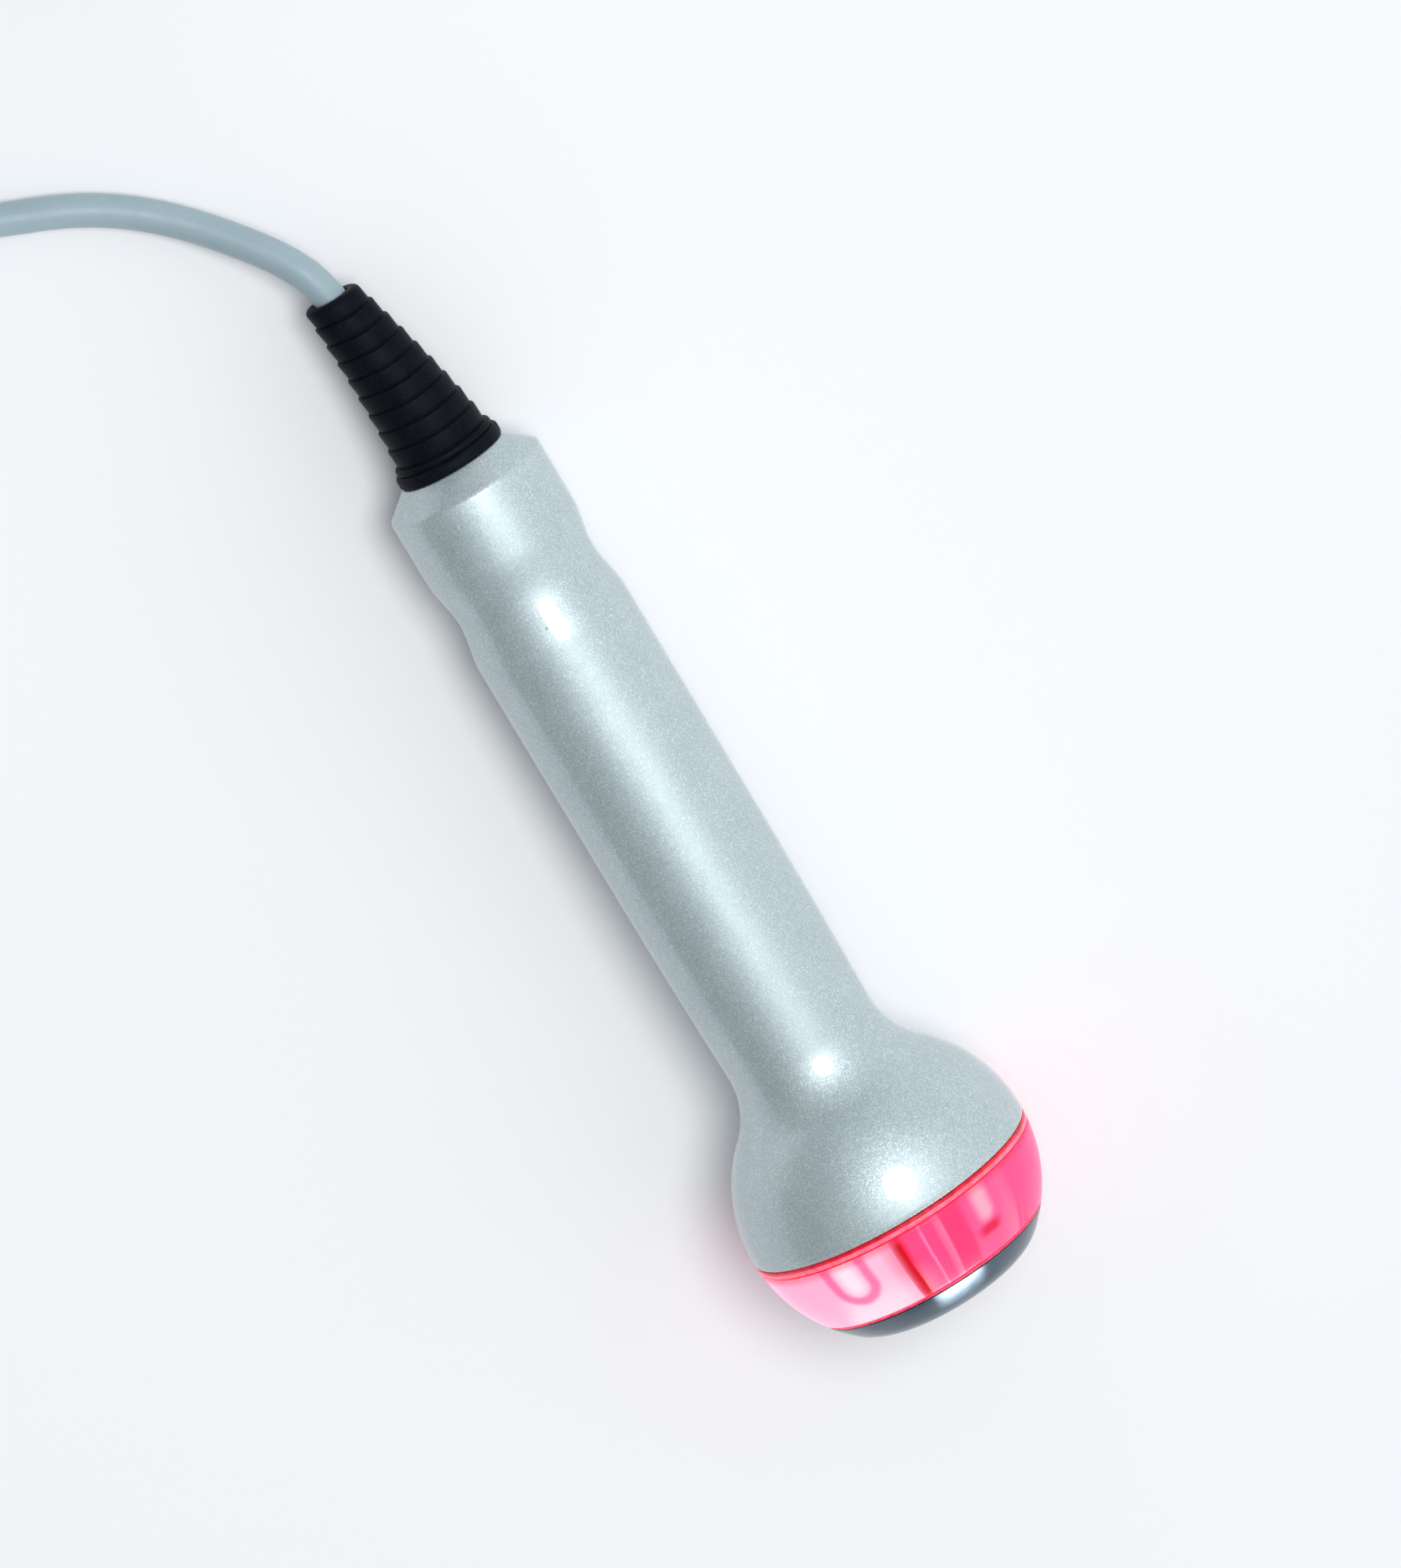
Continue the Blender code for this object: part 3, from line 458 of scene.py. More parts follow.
    # a darker patch at the far end of each pocket, only on the -Y side painted in shade
    low = ring.sum("ABSOLUTE", ring.sum("SUBTRACT", z, 150.2 * MM))
    low = ring.fit(low, 0.3 * MM, 1.5 * MM, 1.0, 0.0)
    near = ring.fit(ring.sum("ABSOLUTE", across), 0.8 * MM, 3.4 * MM, 1.0, 0.0)
    patch = ring.sum("MULTIPLY", low, near)
    patch = ring.sum("MULTIPLY", patch, ring.fit(painted_light_side, 0.0, 0.6, 0.85, 0.0))
    glow = ring.mix(patch, glow, (0.70, 0.004, 0.035))
    top = ring.fit(z, (RING_REAR_Z + 0.1) * MM, (RING_REAR_Z + 1.6) * MM, 0.5, 0.0)
    glow = ring.mix(top, glow, (1.0, 0.06, 0.17))
    edge = ring.fit(z, (RING_FRONT_Z - 0.45) * MM, (RING_FRONT_Z - 0.1) * MM, 0.0, 0.6)
    seen = ring.mix(edge, glow, (0.95, 0.03, 0.11))
    ring.feed("Base Color", ring.mix(0.9, seen, (0.08, 0.004, 0.012)))
    ring.feed("Emission Color", seen)
    ring.bump(ring.noise(4.0), 0.05, 0.0003)
    return ring.made


def satin(name, colour, glow, roughness=0.3):
    """Soft red plastic of the seal, its lip and the gasket, with a painted glow, though these
    parts are no lamps.
    """
    made = Surface(name, colour, roughness, Emission_Strength=glow)
    mottle = made.noise(1.6, 3.0)
    darker = tuple(c * 0.55 for c in colour)
    tone = made.ramp(mottle, [(0.35, darker), (0.65, colour)])
    made.feed("Base Color", tone)
    # painted light: the part glows in its own tone
    made.feed("Emission Color", tone)
    made.feed("Roughness", made.grey(mottle, roughness - 0.08, roughness + 0.1))
    made.bump(made.noise(0.4), 0.1, 0.0001)
    return made.made


def head_metal():
    """Polished aluminium with turning marks around its axis and a few pale dots; its tone is
    painted very dark, a painted reflection of dark surroundings.
    """
    metal = Surface("polished_head_metal", (0.58, 0.63, 0.68), 0.3, 1.0,
                    Anisotropic=0.85, Anisotropic_Rotation=0.25)
    around = metal.node("ShaderNodeTangent", direction_type="RADIAL", axis="X")
    metal.feed("Tangent", around.outputs["Tangent"])
    x, y, z = metal.axes()
    squared = metal.sum("ADD", metal.sum("POWER", x, 2.0), metal.sum("POWER", y, 2.0))
    radius = metal.sum("SQRT", squared)
    height = metal.sum("ADD", radius, z)
    lines = metal.node("ShaderNodeTexNoise", noise_dimensions="1D")
    metal.set(lines, Scale=9000.0, Detail=2.0)
    metal.link(height, lines.inputs["W"])
    dots = metal.fit(metal.cells(1.1), 0.04, 0.11, 1.0, 0.0)
    sparse = metal.fit(metal.noise(3.2), 0.52, 0.62)
    marks = metal.sum("MULTIPLY", dots, sparse)
    haze = metal.noise(6.0, 4.0)
    # painted reflection: the tone is kept very dark to stand in for dark surroundings mirrored in
    # the polished metal, and the haze varies it at random
    tone = metal.ramp(haze, [(0.3, (0.075, 0.105, 0.14)), (0.7, (0.13, 0.165, 0.20))])
    metal.feed("Base Color", metal.mix(marks, tone, (0.6, 0.63, 0.66)))
    rough = metal.sum("ADD", metal.grey(haze, 0.15, 0.24), metal.sum("MULTIPLY", marks, 0.3))
    metal.feed("Roughness", rough)
    metal.bump(lines.outputs["Fac"], 0.05, 0.00006)
    return metal.made


def turned_metal(name, colour, roughness=0.2, grain=0.15):
    """Plated or turned metal with fine marks and faint stains."""
    metal = Surface(name, colour, roughness, 1.0)
    stain = metal.noise(2.5, 4.0)
    darker = tuple(c * 0.8 for c in colour)
    metal.feed("Base Color", metal.ramp(stain, [(0.3, darker), (0.65, colour)]))
    metal.feed("Roughness", metal.grey(stain, roughness * 0.7, roughness * 1.5))
    metal.bump(metal.noise(grain, 2.0), 0.08, 0.00005)
    return metal.made


def moulded(name, colour, roughness=0.5, grain=0.3, glow=0.0):
    """Matt moulded material with a fine grain and uneven tone."""
    made = Surface(name, colour, roughness, Emission_Strength=glow)
    wide, fine = made.noise(4.0, 3.0), made.noise(grain, 3.0)
    darker = tuple(c * 0.78 for c in colour)
    tone = made.ramp(wide, [(0.3, darker), (0.7, colour)])
    made.feed("Base Color", tone)
    if glow:
        made.feed("Emission Color", tone)
    made.feed("Roughness", made.grey(fine, roughness - 0.1, roughness + 0.1))
    made.bump(fine, 0.15, 0.0001)
    return made.made


def woven_strap():
    """Hook-and-loop strap: a fine black pile with slight lint."""
    strap = Surface("strap_pile", (0.016, 0.017, 0.02), 0.85,
                    Sheen_Weight=0.6, Sheen_Roughness=0.5)
    pile = strap.cells(0.22)
    lint = strap.noise(1.5, 4.0)
    base = strap.ramp(lint, [(0.4, (0.012, 0.013, 0.016)), (0.8, (0.045, 0.048, 0.055))])
    raised = strap.fit(pile, 0.1, 0.7, 0.0, 0.4)
    strap.feed("Base Color", strap.mix(raised, base, (0.06, 0.065, 0.075)))
    strap.feed("Roughness", strap.grey(lint, 0.75, 0.95))
    strap.bump(pile, 0.6, 0.0002)
    return strap.made


# ---------------------------------------------------------------- shapes

def fillet(corners, steps=5):
    """Outline through (z, radius, rounding) corners, with each rounded corner an arc."""
    line = []
    for index, (z, radius, rounding) in enumerate(corners):
        here = Vector((z, radius))
        if not rounding:
            line.append((z, radius))
            continue
        before = Vector(corners[index - 1][:2]) - here
        after = Vector(corners[(index + 1) % len(corners)][:2]) - here
        half = before.angle(after) / 2
        reach = min(rounding / math.tan(half), 0.49 * before.length, 0.49 * after.length)
        start, end = here + before.normalized() * reach, here + after.normalized() * reach
        weight = math.sin(half)
        for step in range(steps + 1):
            t = step / steps
            a, b, c = (1 - t) ** 2, 2 * t * (1 - t) * weight, t * t
            line.append(tuple((start * a + here * b + end * c) / (a + b + c)))
    return line


def arc(centre_z, centre_r, radius, start, end, steps):
    """Profile points (z, radius) on an arc, angles measured from +Z towards +radius."""
    for step in range(steps + 1):
        angle = start + (end - start) * step / steps
        yield centre_z + radius * math.cos(angle), centre_r + radius * math.sin(angle)


def sphere_radius_at(z):
    return math.sqrt(HEAD_R ** 2 - (z - HEAD_CENTRE_Z) ** 2)


def add_piece(name, verts, faces, finish, axes, body, crease=30.0):
    """A closed mesh, drawn in millimetres, with its finish, on its body."""
    mesh = bpy.data.meshes.new(name)
    mesh.from_pydata([axes @ (Vector(v) * MM) for v in verts], [], faces)
    bm = bmesh.new()
    bm.from_mesh(mesh)
    bmesh.ops.recalc_face_normals(bm, faces=bm.faces)
    bm.to_mesh(mesh)
    bm.free()
    mesh.shade_smooth()
    mesh.set_sharp_from_angle(angle=math.radians(crease))
    mesh.materials.append(finish)
    made = bpy.data.objects.new(name, mesh)
    bpy.context.collection.objects.link(made)
    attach(made, body)
    return made


def revolved(name, profile, finish, axes=HANDPIECE, body=HANDPIECE_BODY, sides=128,
             relief=None, bend=None, crease=30.0):
    """Turn a closed profile of (z, radius) points about +Z. relief(z, radius, angle) gives a
    point's own radius, and bend(z) moves the turned shape sideways."""
    verts, rings, faces = [], [], []
    for z, radius in profile:
        count = 1 if radius < 1e-6 else sides
        rings.append(range(len(verts), len(verts) + count))
        for side in range(count):
            angle = math.tau * side / sides
            seen = relief(z, radius, angle) if relief and radius else radius
            shift = bend(z) if bend else 0.0
            verts.append((seen * math.cos(angle), seen * math.sin(angle) + shift, z))
    for low, high in zip(rings, [*rings[1:], rings[0]]):
        if len(low) == len(high) == 1:
            continue
        for side in range(sides):
            after = (side + 1) % sides
            corners = [low[side % len(low)], low[after % len(low)],
                       high[after % len(high)], high[side % len(high)]]
            faces.append(list(dict.fromkeys(corners)))
    return add_piece(name, verts, faces, finish, axes, body, crease)


# ---------------------------------------------------------------- housing

def flare_centre():
    centre_r = HANDLE_FRONT_R + FLARE_R
    reach = HEAD_R + FLARE_R
    return HEAD_CENTRE_Z - math.sqrt(reach ** 2 - centre_r ** 2), centre_r


def grip_radius(z):
    """Radius of the grip behind the flare: the waist, then a slow taper."""
    if WAIST_START_Z < z < WAIST_END_Z:
        share = (z - WAIST_START_Z) / (WAIST_END_Z - WAIST_START_Z)
        return HANDLE_R - WAIST_DEPTH * math.sin(math.pi * share) ** 2
    share = max(0.0, (z - TAPER_START_Z) / (flare_centre()[0] - TAPER_START_Z))
    return HANDLE_R - (HANDLE_R - HANDLE_FRONT_R) * share * share


def flare_and_head(inset, head_end_z, flare_steps, head_steps):
    """The flare and the round back of the head, inset from the outside surface."""
    flare_z, flare_r = flare_centre()
    meet = math.atan2(flare_r, HEAD_CENTRE_Z - flare_z)
    yield from arc(flare_z, flare_r, FLARE_R + inset, -math.pi / 2, -meet, flare_steps)
    radius = HEAD_R - inset
    end = math.acos((head_end_z - HEAD_CENTRE_Z) / radius)
    head = list(arc(HEAD_CENTRE_Z, 0.0, radius, math.pi - meet, end, head_steps))
    yield from head[1:]


def painted_housing():
    """The grip, its cone at the butt and the round back of the head, with a turned inside."""
    butt = [(0.0, 5.3, 0.0), (0.0, SHOULDER_R, 0.35), (SHOULDER_LENGTH - 0.1, HANDLE_R, 1.4)]
    butt += [(WAIST_START_Z, HANDLE_R, 0.0)]
    outside = fillet(butt, 8)[1:-1]
    outside = [(0.0, 5.3), *outside]
    grip_end = flare_centre()[0]
    steps = 90
    for step in range(steps):
        z = WAIST_START_Z + (grip_end - WAIST_START_Z) * step / steps
        outside.append((z, grip_radius(z)))
    outside += flare_and_head(0.0, SEAM_Z - 0.35, 24, 30)
    outside += [(SEAM_Z - 0.08, HEAD_R - 0.16), (SEAM_Z, HEAD_R - 0.5)]
    ledge_start_z = HEAD_CENTRE_Z - math.sqrt((HEAD_R - SHELL_WALL) ** 2 - LEDGE_R ** 2)
    inside = [(SEAM_Z, SEAT_R), (LEDGE_Z, SEAT_R), (LEDGE_Z, LEDGE_R)]
    inside += reversed(list(flare_and_head(SHELL_WALL, ledge_start_z, 10, 10)))
    inside += [(105.0, BORE_R), (REAR_WALL, BORE_R), (REAR_WALL, 5.3)]
    piece = revolved("painted_housing", outside + inside, pearl_paint(), sides=192,
                     crease=50.0)
    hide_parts("handle_shell")


def bend_relief():
    """Stepped strain relief: nine rounded steps with a groove behind each, and two beads."""
    flange = [(5.8, LEAD_BORE_R, 0.0), (5.8, 7.0, 0.3), (REAR_WALL + 0.3, 7.0, 0.0)]
    flange += [(REAR_WALL + 0.3, 5.0, 0.0), (-0.12, 5.0, 0.0)]
    beads = [(-0.12, BEAD_R - 0.15, 0.3), (-0.5, BEAD_R, 0.5), (-2.1, BEAD_R, 0.8)]
    beads += [(-2.25, BOOT_BASE_R + 0.25, 0.12), (-2.35, BOOT_BASE_R + 0.85, 0.4)]
    beads += [(-BEAD_LENGTH, BOOT_BASE_R + 0.7, 0.45)]
    steps = []
    pitch = (BOOT_LENGTH - BEAD_LENGTH) / BOOT_STEPS
    for step in range(BOOT_STEPS):
        radius = BOOT_BASE_R - (BOOT_BASE_R - BOOT_TIP_R) * step / (BOOT_STEPS - 1)
        top = -BEAD_LENGTH - step * pitch
        steps += [(top - 0.02, radius - 0.3, 0.06), (top - 0.26, radius - 0.3, 0.06)]
        steps += [(top - 0.36, radius - 0.02, 0.1), (top - pitch + 0.05, radius + 0.03, 0.32)]
    steps[-1] = (-BOOT_LENGTH, BOOT_TIP_R, 1.2)
    mouth = [(-BOOT_LENGTH, LEAD_BORE_R, 0.25)]
    profile = fillet(flange + beads + steps + mouth, 4)
    piece = revolved("bend_relief", profile, rubber("moulded_rubber"),
                     sides=96, bend=boot_bend, crease=60.0)
    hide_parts("strain_relief")


# ---------------------------------------------------------------- head

def glow_ring():
    """The lit ring: a clear body with softened edges."""
    outer = list(arc(HEAD_CENTRE_Z, 0.0, HEAD_R - 0.02,
                     math.acos((RING_REAR_Z + 0.25 - HEAD_CENTRE_Z) / HEAD_R),
                     math.acos((RING_FRONT_Z - 0.25 - HEAD_CENTRE_Z) / HEAD_R), 28))
    rear_r, front_r = sphere_radius_at(RING_REAR_Z), sphere_radius_at(RING_FRONT_Z)
    profile = [(RING_FRONT_Z, front_r - 0.35), (RING_FRONT_Z, RING_BORE_R + 0.3)]
    profile += [(RING_FRONT_Z - 0.3, RING_BORE_R), (RING_REAR_Z + 0.3, RING_BORE_R)]
    profile += [(RING_REAR_Z, RING_BORE_R + 0.3), (RING_REAR_Z, rear_r - 0.3)]
    profile += [(RING_REAR_Z + 0.08, rear_r - 0.1), *outer, (RING_FRONT_Z - 0.06, front_r - 0.12)]
    piece = revolved("glow_ring", profile, lit_plastic(), sides=192, crease=50.0)
    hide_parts("indicator_ring")


def seal():
    """Dark red bead under the paint's edge, a paler lip and a thin groove before the ring."""
    bead = fillet([(140.98, 23.9, 0.0), (141.0, 25.22, 0.1), (141.25, 25.34, 0.12),
                   (141.5, 25.24, 0.1), (141.52, 23.9, 0.0)], 4)
    # the seal bead, lip, line and gasket each carry a painted glow, though they are no lamps
    piece = revolved("seal_bead", bead, satin("seal_dark_red", (0.62, 0.006, 0.02), 0.5),
                     sides=160)
    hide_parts("ring_seal")
    lip = fillet([(141.56, 23.9, 0.0), (141.58, 25.3, 0.15), (142.28, 25.26, 0.2),
                  (142.32, 23.9, 0.0)], 4)
    revolved("seal_lip", lip, satin("seal_lip_pink", (1.0, 0.13, 0.22), 0.8),
             sides=160)
    line = fillet([(142.34, 23.9, 0.0), (142.34, 25.02, 0.06), (142.58, 25.0, 0.06),
                   (142.58, 23.9, 0.0)], 3)
    revolved("seal_line", line, satin("seal_line_red", (0.82, 0.008, 0.025), 0.5),
             sides=160)
    front = fillet([(155.0, 18.5, 0.1), (154.98, 20.62, 0.1), (155.28, 20.5, 0.1),
                    (155.3, 18.5, 0.1)], 3)
    piece = revolved("front_gasket", front, satin("gasket_red", (0.9, 0.06, 0.14), 0.5),
                     sides=160)
    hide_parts("face_gasket")


def sound_head():
    """The metal head: spherical side, rounded edge and a flat face."""
    shoulder_z = RING_FRONT_Z + 0.5
    along = FACE_Z - FACE_EDGE_R - HEAD_CENTRE_Z
    centre_r = math.sqrt((HEAD_R - FACE_EDGE_R) ** 2 - along ** 2)
    meet = math.atan2(centre_r, along)
    start = math.acos((shoulder_z + 0.15 - HEAD_CENTRE_Z) / HEAD_R)
    outer = list(arc(HEAD_CENTRE_Z, 0.0, HEAD_R, start, meet, 12))
    outer += list(arc(FACE_Z - FACE_EDGE_R, centre_r, FACE_EDGE_R, meet, 0.0, 20))[1:]
    rear = [(131.0, 16.4), (131.0, SKIRT_R), (shoulder_z, SKIRT_R)]
    rear += [(shoulder_z, sphere_radius_at(shoulder_z) - 0.2)]
    face = [(FACE_Z, centre_r * share) for share in (0.75, 0.5, 0.25)] + [(FACE_Z, 0.0)]
    inside = [(158.3, 0.0), (158.3, 12.9), (154.8, 16.4)]
    profile = rear + outer + face + inside
    piece = revolved("sound_head", profile, head_metal(), sides=160, crease=40.0)
    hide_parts("treatment_head")


# ---------------------------------------------------------------- lead

def smooth_line(points, spacing):
    """Points about one spacing apart on a smooth curve through the given points."""
    points = [Vector(p) for p in points]
    ends = [2 * points[0] - points[1]] + points + [2 * points[-1] - points[-2]]
    line = [points[0]]
    for a, b, c, d in zip(ends, ends[1:], ends[2:], ends[3:]):
        count = max(1, round((c - b).length / spacing))
        for step in range(1, count + 1):
            t = step / count
            line.append(0.5 * (
                2 * b + (c - a) * t + (2 * a - 5 * b + 4 * c - d) * t * t
                + (3 * b - a - 3 * c + d) * t ** 3
            ))
    return line


def ease(share):
    share = min(1.0, max(0.0, share))
    return share * share * (3.0 - 2.0 * share)


def coil_points():
    """The coiled length: up the inner column, then down the outer one, a turn in each place."""
    inner = [(COIL_INNER_R, row) for row in range(4)]
    places = [(COIL_OUTER_R, 0), *inner, *((COIL_OUTER_R, row) for row in (3, 2, 1))]
    travel = 360.0 * COIL_TURNS + COIL_START - COIL_END
    count = round(travel / 360.0 * POINTS_PER_TURN)
    for step in range(count + 1):
        turned = travel * step / count
        radius, row = places[0]
        for index, (before, after) in enumerate(zip(places, places[1:])):
            centre = FIRST_SHIFT + SHIFT_STEP * index
            share = ease((turned - centre) / SHIFT_ANGLE + 0.5)
            radius += share * (after[0] - before[0])
            row += share * (after[1] - before[1])
        angle = math.radians(COIL_START - turned)
        yield Vector((
            COIL_CENTRE[0] + radius * math.cos(angle),
            COIL_CENTRE[1] + radius * math.sin(angle),
            COIL_FIRST_Z + 2 * LEAD_R * row,
        ))


def lead_points():
    """The whole lead in millimetres: out of the strain relief, along the surface, the coil
    and the short tail into the connector."""
    inside = [HANDPIECE @ (Vector((0.0, boot_bend(z), z)) * MM) / MM for z in (-27.0, -30.0)]
    free = smooth_line([*inside, *LEAD_ROUTE], 2.5)
    coil = list(coil_points())
    start, end = coil[-1], CONNECTOR.translation / MM
    direction = (end - start).normalized()
    tail = [start + direction * (end - start).length * share for share in (0.2, 0.4, 0.6, 0.8)]
    return free + coil + tail + [end + CONNECTOR.to_3x3().col[2] * 2.0]


def make_lead():
    data = bpy.data.curves.new("lead", "CURVE")
    data.dimensions = "3D"
    data.bevel_depth = LEAD_R * MM
    data.bevel_resolution = 6
    data.use_fill_caps = True
    spline = data.splines.new("POLY")
    points = lead_points()
    spline.points.add(len(points) - 1)
    for point, at in zip(spline.points, points):
        point.co = (*(at * MM), 1.0)
    spline.use_smooth = True
    data.materials.append(lead_jacket())
    lead = bpy.data.objects.new("lead", data)
    bpy.context.collection.objects.link(lead)
    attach(lead, HANDPIECE_BODY)
    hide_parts("cord_free", "cord_coil", "cord_tail")
    return lead


def coil_straps():
    """Two hook-and-loop straps around the coil's section, each with an overlapping end."""
    finish = woven_strap()
    straps = []
    centre_z = COIL_FIRST_Z + 3 * LEAD_R
    half_wide, half_high = 2 * LEAD_R + 0.35, 4 * LEAD_R + 0.3
    for number, angle in enumerate(STRAP_ANGLES, 1):
        around = Matrix.Rotation(math.radians(angle), 4, "Z")
        at = Matrix.Translation(Vector((*COIL_CENTRE, centre_z)) * MM) @ around
        at = at @ Matrix.Translation(Vector((COIL_MIDDLE_R, 0.0, 0.0)) * MM)
        outline = strap_outline(half_wide, half_high)
        verts, faces = [], []
        for inner, outer in outline:
            for y in STRAP_WIDTHS:
                thin = STRAP_EDGE_THIN if abs(y) == STRAP_WIDTHS[-1] else 0.0
                verts.append((*(inner + (outer - inner) * thin), y))
            for y in reversed(STRAP_WIDTHS):
                thin = STRAP_EDGE_THIN if abs(y) == STRAP_WIDTHS[-1] else 0.0
                verts.append((*(outer - (outer - inner) * thin), y))
        ring = 2 * len(STRAP_WIDTHS)
        for place in range(len(outline) - 1):
            for side in range(ring):
                a, b = place * ring + side, place * ring + (side + 1) % ring
                faces.append((a, b, b + ring, a + ring))
        faces.append(tuple(range(ring)))
        faces.append(tuple(range((len(outline) - 1) * ring, len(outline) * ring)))
        verts = [(x, y, z) for x, z, y in verts]
        strap = add_piece(f"coil_strap_{number}", verts, faces, finish, at, HANDPIECE_BODY,
                          crease=40.0)
        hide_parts(f"cord_tie_{number}")
        straps.append(strap)
    return straps


def strap_outline(half_wide, half_high, thickness=0.75, corner=2.6, lap=9.0):
    """Inner and outer points around a rounded rectangle, with its end lapped on its start."""
    length_x, length_z = 2 * (half_wide - corner), 2 * (half_high - corner)
    legs = [length_z, length_x, length_z, length_x]
    bow = math.pi / 2 * corner
    around = sum(legs) + 4 * bow
    pairs = []
    steps = 110
    for step in range(steps + 1):
        travelled = (around + lap) * step / steps
        rest = travelled % around
        point, normal = rounded_rectangle(rest, half_wide, half_high, corner)
        rise = (thickness + 0.05) * ease((travelled - around + 3.0) / 3.0)
        pairs.append((point + normal * rise, point + normal * (rise + thickness)))
    return pairs


def rounded_rectangle(travelled, half_wide, half_high, corner):
    """Point and outward direction at a distance around a rounded rectangle's edge."""
    bow = math.pi / 2 * corner
    flats = (2 * (half_high - corner), 2 * (half_wide - corner)) * 2
    starts = [
        (Vector((half_wide, -half_high + corner)), Vector((0, 1)), Vector((1, 0))),
        (Vector((half_wide - corner, half_high)), Vector((-1, 0)), Vector((0, 1))),
        (Vector((-half_wide, half_high - corner)), Vector((0, -1)), Vector((-1, 0))),
        (Vector((-half_wide + corner, -half_high)), Vector((1, 0)), Vector((0, -1))),
    ]
    for (start, along, out), flat in zip(starts, flats):
        if travelled <= flat:
            return start + along * travelled, out
        travelled -= flat
        if travelled <= bow:
            turn = travelled / corner
            centre = start + along * flat - out * corner
            normal = out * math.cos(turn) + along * math.sin(turn)
            return centre + normal * corner, normal
        travelled -= bow
    return starts[0][0], starts[0][2]


# ---------------------------------------------------------------- connector

def knurl(count, depth, low, high):
    """Relief for straight knurling between two heights."""
    def relief(z, radius, angle):
        if low < z < high and radius > PLUG_R + 1.5:
            return radius - depth * (0.5 - 0.5 * math.cos(count * angle)) ** 0.5
        return radius
    return relief


def connector_pieces():
    """The push-pull connector's outside: boot, nut, shell and latch sleeve."""
    chrome = turned_metal("satin_chrome", (0.74, 0.75, 0.78), 0.16)
    boot = [(0.0, LEAD_BORE_R, 0.1), (0.0, 4.0, 0.5)]
    for step in range(6):
        z = 2.4 + 3.0 * step
        radius = 4.2 + 0.36 * step
        boot += [(z, radius + 0.1, 0.2), (z + 0.1, radius - 0.45, 0.1)]
        boot += [(z + 0.9, radius - 0.35, 0.1), (z + 1.0, radius + 0.28, 0.2)]
    boot += [(20.5, 6.6, 0.6), (22.0, 6.6, 0.3), (22.0, LEAD_BORE_R, 0.0)]
    piece = revolved("plug_boot", fillet(boot, 3), rubber("plug_rubber", (0.014, 0.015, 0.018)),
                     CONNECTOR, sides=64, crease=60.0)
    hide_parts("connector_boot")
    made = [piece]

    nut = [(22.3, LEAD_BORE_R, 0.0), (22.3, 7.4, 0.2), (23.0, 8.0, 0.3), (24.0, NUT_R, 0.5)]
    nut += [(25.6, NUT_R, 0.2), (25.8, NUT_R - 0.35, 0.1), (26.3, NUT_R - 0.35, 0.1)]
    nut += [(26.5, NUT_R, 0.2), (30.0, NUT_R, 0.5), (30.0, 6.0, 0.0), (24.5, 6.0, 0.0)]
    nut += [(24.5, LEAD_BORE_R, 0.0)]

    def spanner_flats(z, radius, angle):
        if 26.4 < z < 30.1 and radius > 8.0:
            off = (angle + math.pi / 2) % math.pi - math.pi / 2
            return min(radius, 8.05 / max(0.2, math.cos(off)))
        return radius

    piece = revolved("plug_nut", fillet(nut, 4), chrome, CONNECTOR, sides=96,
                     relief=spanner_flats)
    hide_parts("collet_nut")
    made.append(piece)

    shell = [(24.8, LEAD_BORE_R, 0.0), (24.8, 5.6, 0.0), (30.3, 5.6, 0.0), (30.3, 7.4, 0.25)]
    shell += [(32.0, 7.4, 0.3), (32.0, PLUG_R, 0.1), (50.6, PLUG_R, 0.1)]
    shell += [(50.7, PLUG_R - 0.25, 0.05), (51.3, PLUG_R - 0.25, 0.05), (51.4, PLUG_R, 0.1)]
    shell += [(55.6, PLUG_R, 0.5), (55.6, 5.0, 0.2), (43.0, 5.0, 0.0), (43.0, 4.0, 0.0)]
    shell += [(30.0, 4.0, 0.0), (30.0, LEAD_BORE_R, 0.0)]
    nickel = turned_metal("plug_nickel", (0.62, 0.62, 0.6), 0.24)
    piece = revolved("plug_shell", fillet(shell, 4), nickel, CONNECTOR, sides=96)
    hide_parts("connector_body")
    made.append(piece)

    sleeve = [(35.0, 7.1, 0.1), (35.0, 7.9, 0.3), (35.8, SLEEVE_R, 0.3)]
    sleeve += [(36.6, SLEEVE_R, 0.1), (36.8, SLEEVE_R - 0.1, 0.1)]
    sleeve += [(37.2 + 0.5 * k, SLEEVE_R, 0.0) for k in range(15)]
    sleeve += [(44.8, SLEEVE_R - 0.1, 0.1), (45.0, SLEEVE_R, 0.1)]
    sleeve += [(47.4, SLEEVE_R, 0.4), (48.2, 7.7, 0.3), (48.2, PLUG_R + 0.3, 0.1)]
    sleeve += [(43.8, PLUG_R + 0.3, 0.0), (43.8, 7.1, 0.0)]
    piece = revolved("plug_sleeve", fillet(sleeve, 4), chrome, CONNECTOR, SLEEVE_BODY,
                     sides=240, relief=knurl(60, 0.22, 37.0, 44.6), crease=45.0)
    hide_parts("latch_sleeve")
    made.append(piece)
    made.append(sleeve_spring())
    return made


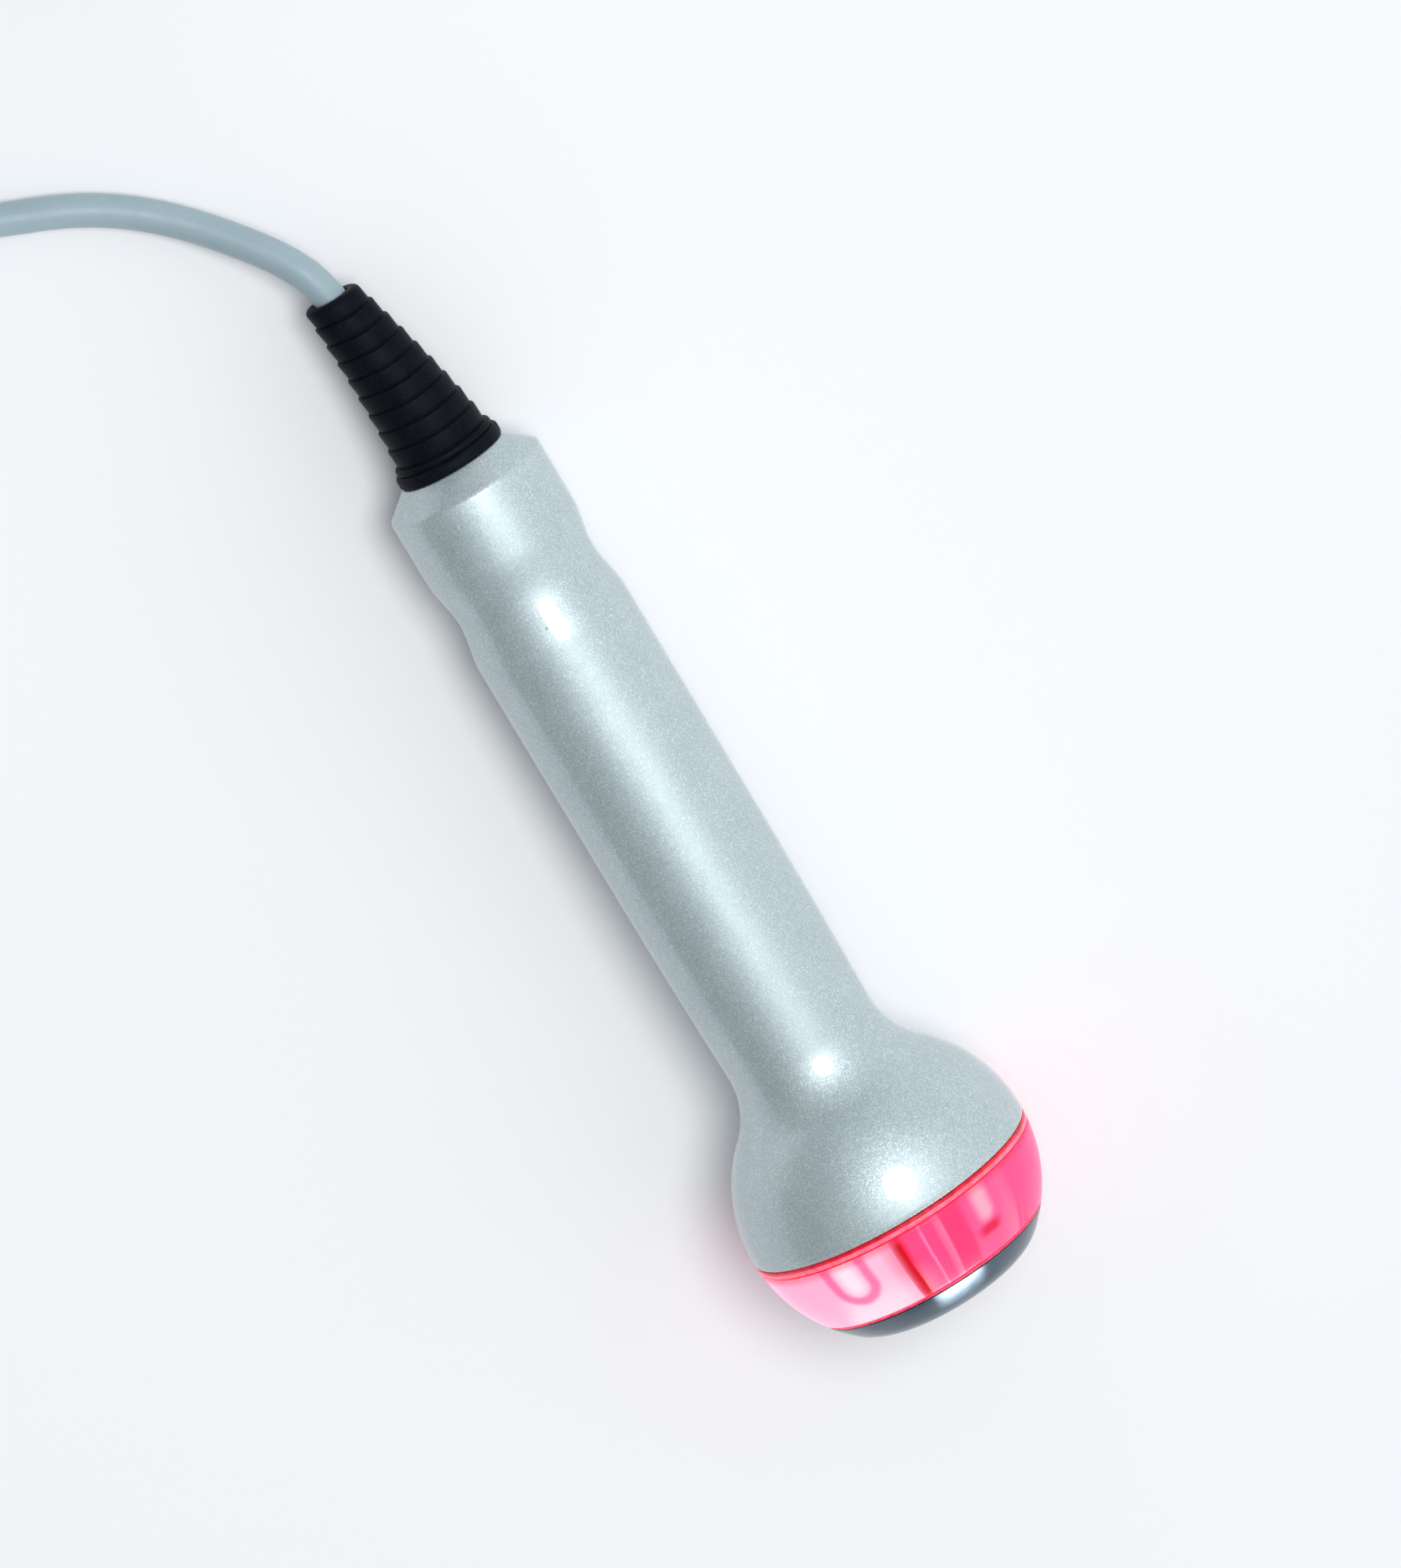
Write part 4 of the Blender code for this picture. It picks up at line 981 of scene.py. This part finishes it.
def sleeve_spring():
    """The coil spring behind the latch sleeve, drawn at one length."""
    per_turn, sides = 32, 10
    count = SPRING_TURNS * per_turn
    verts, faces = [], []
    for step in range(count + 1):
        angle = math.tau * step / per_turn
        z = SPRING_REAR_Z + (SPRING_FRONT_Z - SPRING_REAR_Z) * step / count
        for side in range(sides):
            turned = math.tau * side / sides
            radius = SPRING_R + SPRING_WIRE_R * math.cos(turned)
            verts.append((radius * math.cos(angle), radius * math.sin(angle),
                          z + SPRING_WIRE_R * math.sin(turned)))
    for step in range(count):
        for side in range(sides):
            here, after = step * sides + side, step * sides + (side + 1) % sides
            faces.append((here, after, after + sides, here + sides))
    faces += [tuple(range(sides)), tuple(range(count * sides, (count + 1) * sides))]
    steel = turned_metal("spring_steel", (0.55, 0.56, 0.58), 0.28)
    piece = add_piece("sleeve_spring", verts, faces, steel, CONNECTOR, HANDPIECE_BODY)
    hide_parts("latch_spring")
    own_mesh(piece)
    return piece


# ---------------------------------------------------------------- CAD nodes that stay

def finish_nodes():
    """Give each CAD node that is shown a material of its slot."""
    finishes = {
        "lead_jacket": lead_jacket(),
        "black_plastic": moulded("inner_black_plastic", (0.03, 0.03, 0.033)),
        "insulator": moulded("insulator_plastic", (0.82, 0.80, 0.72)),
        "circuit_board": moulded("board_mask", (0.02, 0.18, 0.075), 0.35, 0.6),
        "crystal": moulded("crystal_ceramic", (0.70, 0.68, 0.58), 0.45, 0.15),
        "ferrite": moulded("ferrite_ceramic", (0.05, 0.05, 0.055), 0.6, 0.2),
        "lamp_lens": moulded("lamp_lens_glow", (1.0, 0.6, 0.66), 0.2, 0.5, glow=1.2),
        "brass": turned_metal("machined_brass", (0.72, 0.52, 0.22), 0.28),
        "copper": turned_metal("enamelled_copper", (0.72, 0.32, 0.14), 0.3),
        "steel": turned_metal("satin_steel", (0.55, 0.56, 0.58), 0.28),
        "gold": turned_metal("gold_plate", (0.92, 0.66, 0.26), 0.18),
    }
    for part in frame["record"]["subparts"]:
        node = frame["nodes"].get(part.get("node"))
        finish = finishes.get(part.get("material_slot"))
        if node and finish and not node.hide_render:
            node.data.materials.clear()
            node.data.materials.append(finish)


# ---------------------------------------------------------------- stage

def make_floor():
    """A plain pale floor."""
    reach = 12.0
    mesh = bpy.data.meshes.new("floor")
    corners = [(reach * x, reach * y, 0.0) for x, y in ((-1, -1), (1, -1), (1, 1), (-1, 1))]
    mesh.from_pydata(corners, [], [(0, 1, 2, 3)])
    pale = Surface("pale_floor", (0.86, 0.87, 0.88), 0.75)
    pale.feed("Roughness", pale.grey(pale.noise(60.0), 0.7, 0.8))
    mesh.materials.append(pale.made)
    floor = bpy.data.objects.new("floor", mesh)
    bpy.context.collection.objects.link(floor)


def area_light(name, direction, distance, size, power, height=None):
    """A soft oval light that many metres from the handle's middle, facing it."""
    middle = HANDPIECE @ Vector((0.0, 0.0, LIT_Z * MM))
    data = bpy.data.lights.new(name, "AREA")
    data.shape = "ELLIPSE"
    data.size = size
    data.size_y = height or size
    data.energy = power
    light = bpy.data.objects.new(name, data)
    bpy.context.collection.objects.link(light)
    direction = direction.normalized()
    light.location = middle + direction * distance
    light.rotation_mode = "QUATERNION"
    light.rotation_quaternion = direction.to_track_quat("Z", "Y")
    light.visible_camera = False


def make_lights():
    """A key light near the view, a low one before the treatment face, and a graded sky."""
    right, up, back = view_axes()
    key = back * math.cos(KEY_ASIDE) + right * math.sin(KEY_ASIDE)
    area_light("key", key, KEY_DISTANCE, KEY_SIZE, KEY_POWER)
    axis = HANDPIECE.to_3x3().col[2]
    aside = axis + math.tan(FACE_LIGHT_ASIDE) * Vector((0.0, 1.0, 0.0))
    area_light("face_light", aside, FACE_LIGHT_DISTANCE, FACE_LIGHT_WIDTH, FACE_LIGHT_POWER,
               FACE_LIGHT_HEIGHT)
    world = bpy.data.worlds.new("studio")
    world.use_nodes = True
    nodes, links = world.node_tree.nodes, world.node_tree.links
    nodes["Background"].inputs["Color"].default_value = SKY_COLOUR
    toward = nodes.new("ShaderNodeVectorMath")
    toward.operation = "DOT_PRODUCT"
    toward.inputs[1].default_value = (right + up * SKY_UP_SHARE).normalized()
    links.new(nodes.new("ShaderNodeTexCoord").outputs["Generated"], toward.inputs[0])
    spread = nodes.new("ShaderNodeMapRange")
    for socket, value in zip(("From Min", "From Max", "To Min", "To Max"), SKY_RAMP):
        spread.inputs[socket].default_value = value
    links.new(toward.outputs["Value"], spread.inputs["Value"])
    links.new(spread.outputs["Result"], nodes["Background"].inputs["Strength"])
    bpy.context.scene.world = world
    bpy.context.scene.view_settings.view_transform = "Standard"


# ---------------------------------------------------------------- build

make_camera()
lead = make_lead()
straps = coil_straps()
plug = connector_pieces()
painted_housing()
bend_relief()
glow_ring()
seal()
sound_head()
finish_nodes()
on_lead = ["connector_lead", "pin_block"]
on_lead += [f"contact_pin_{number}" for number in range(1, 7)]
Vector(LEAD_ROUTE[0]) * MM
make_floor()
make_lights()
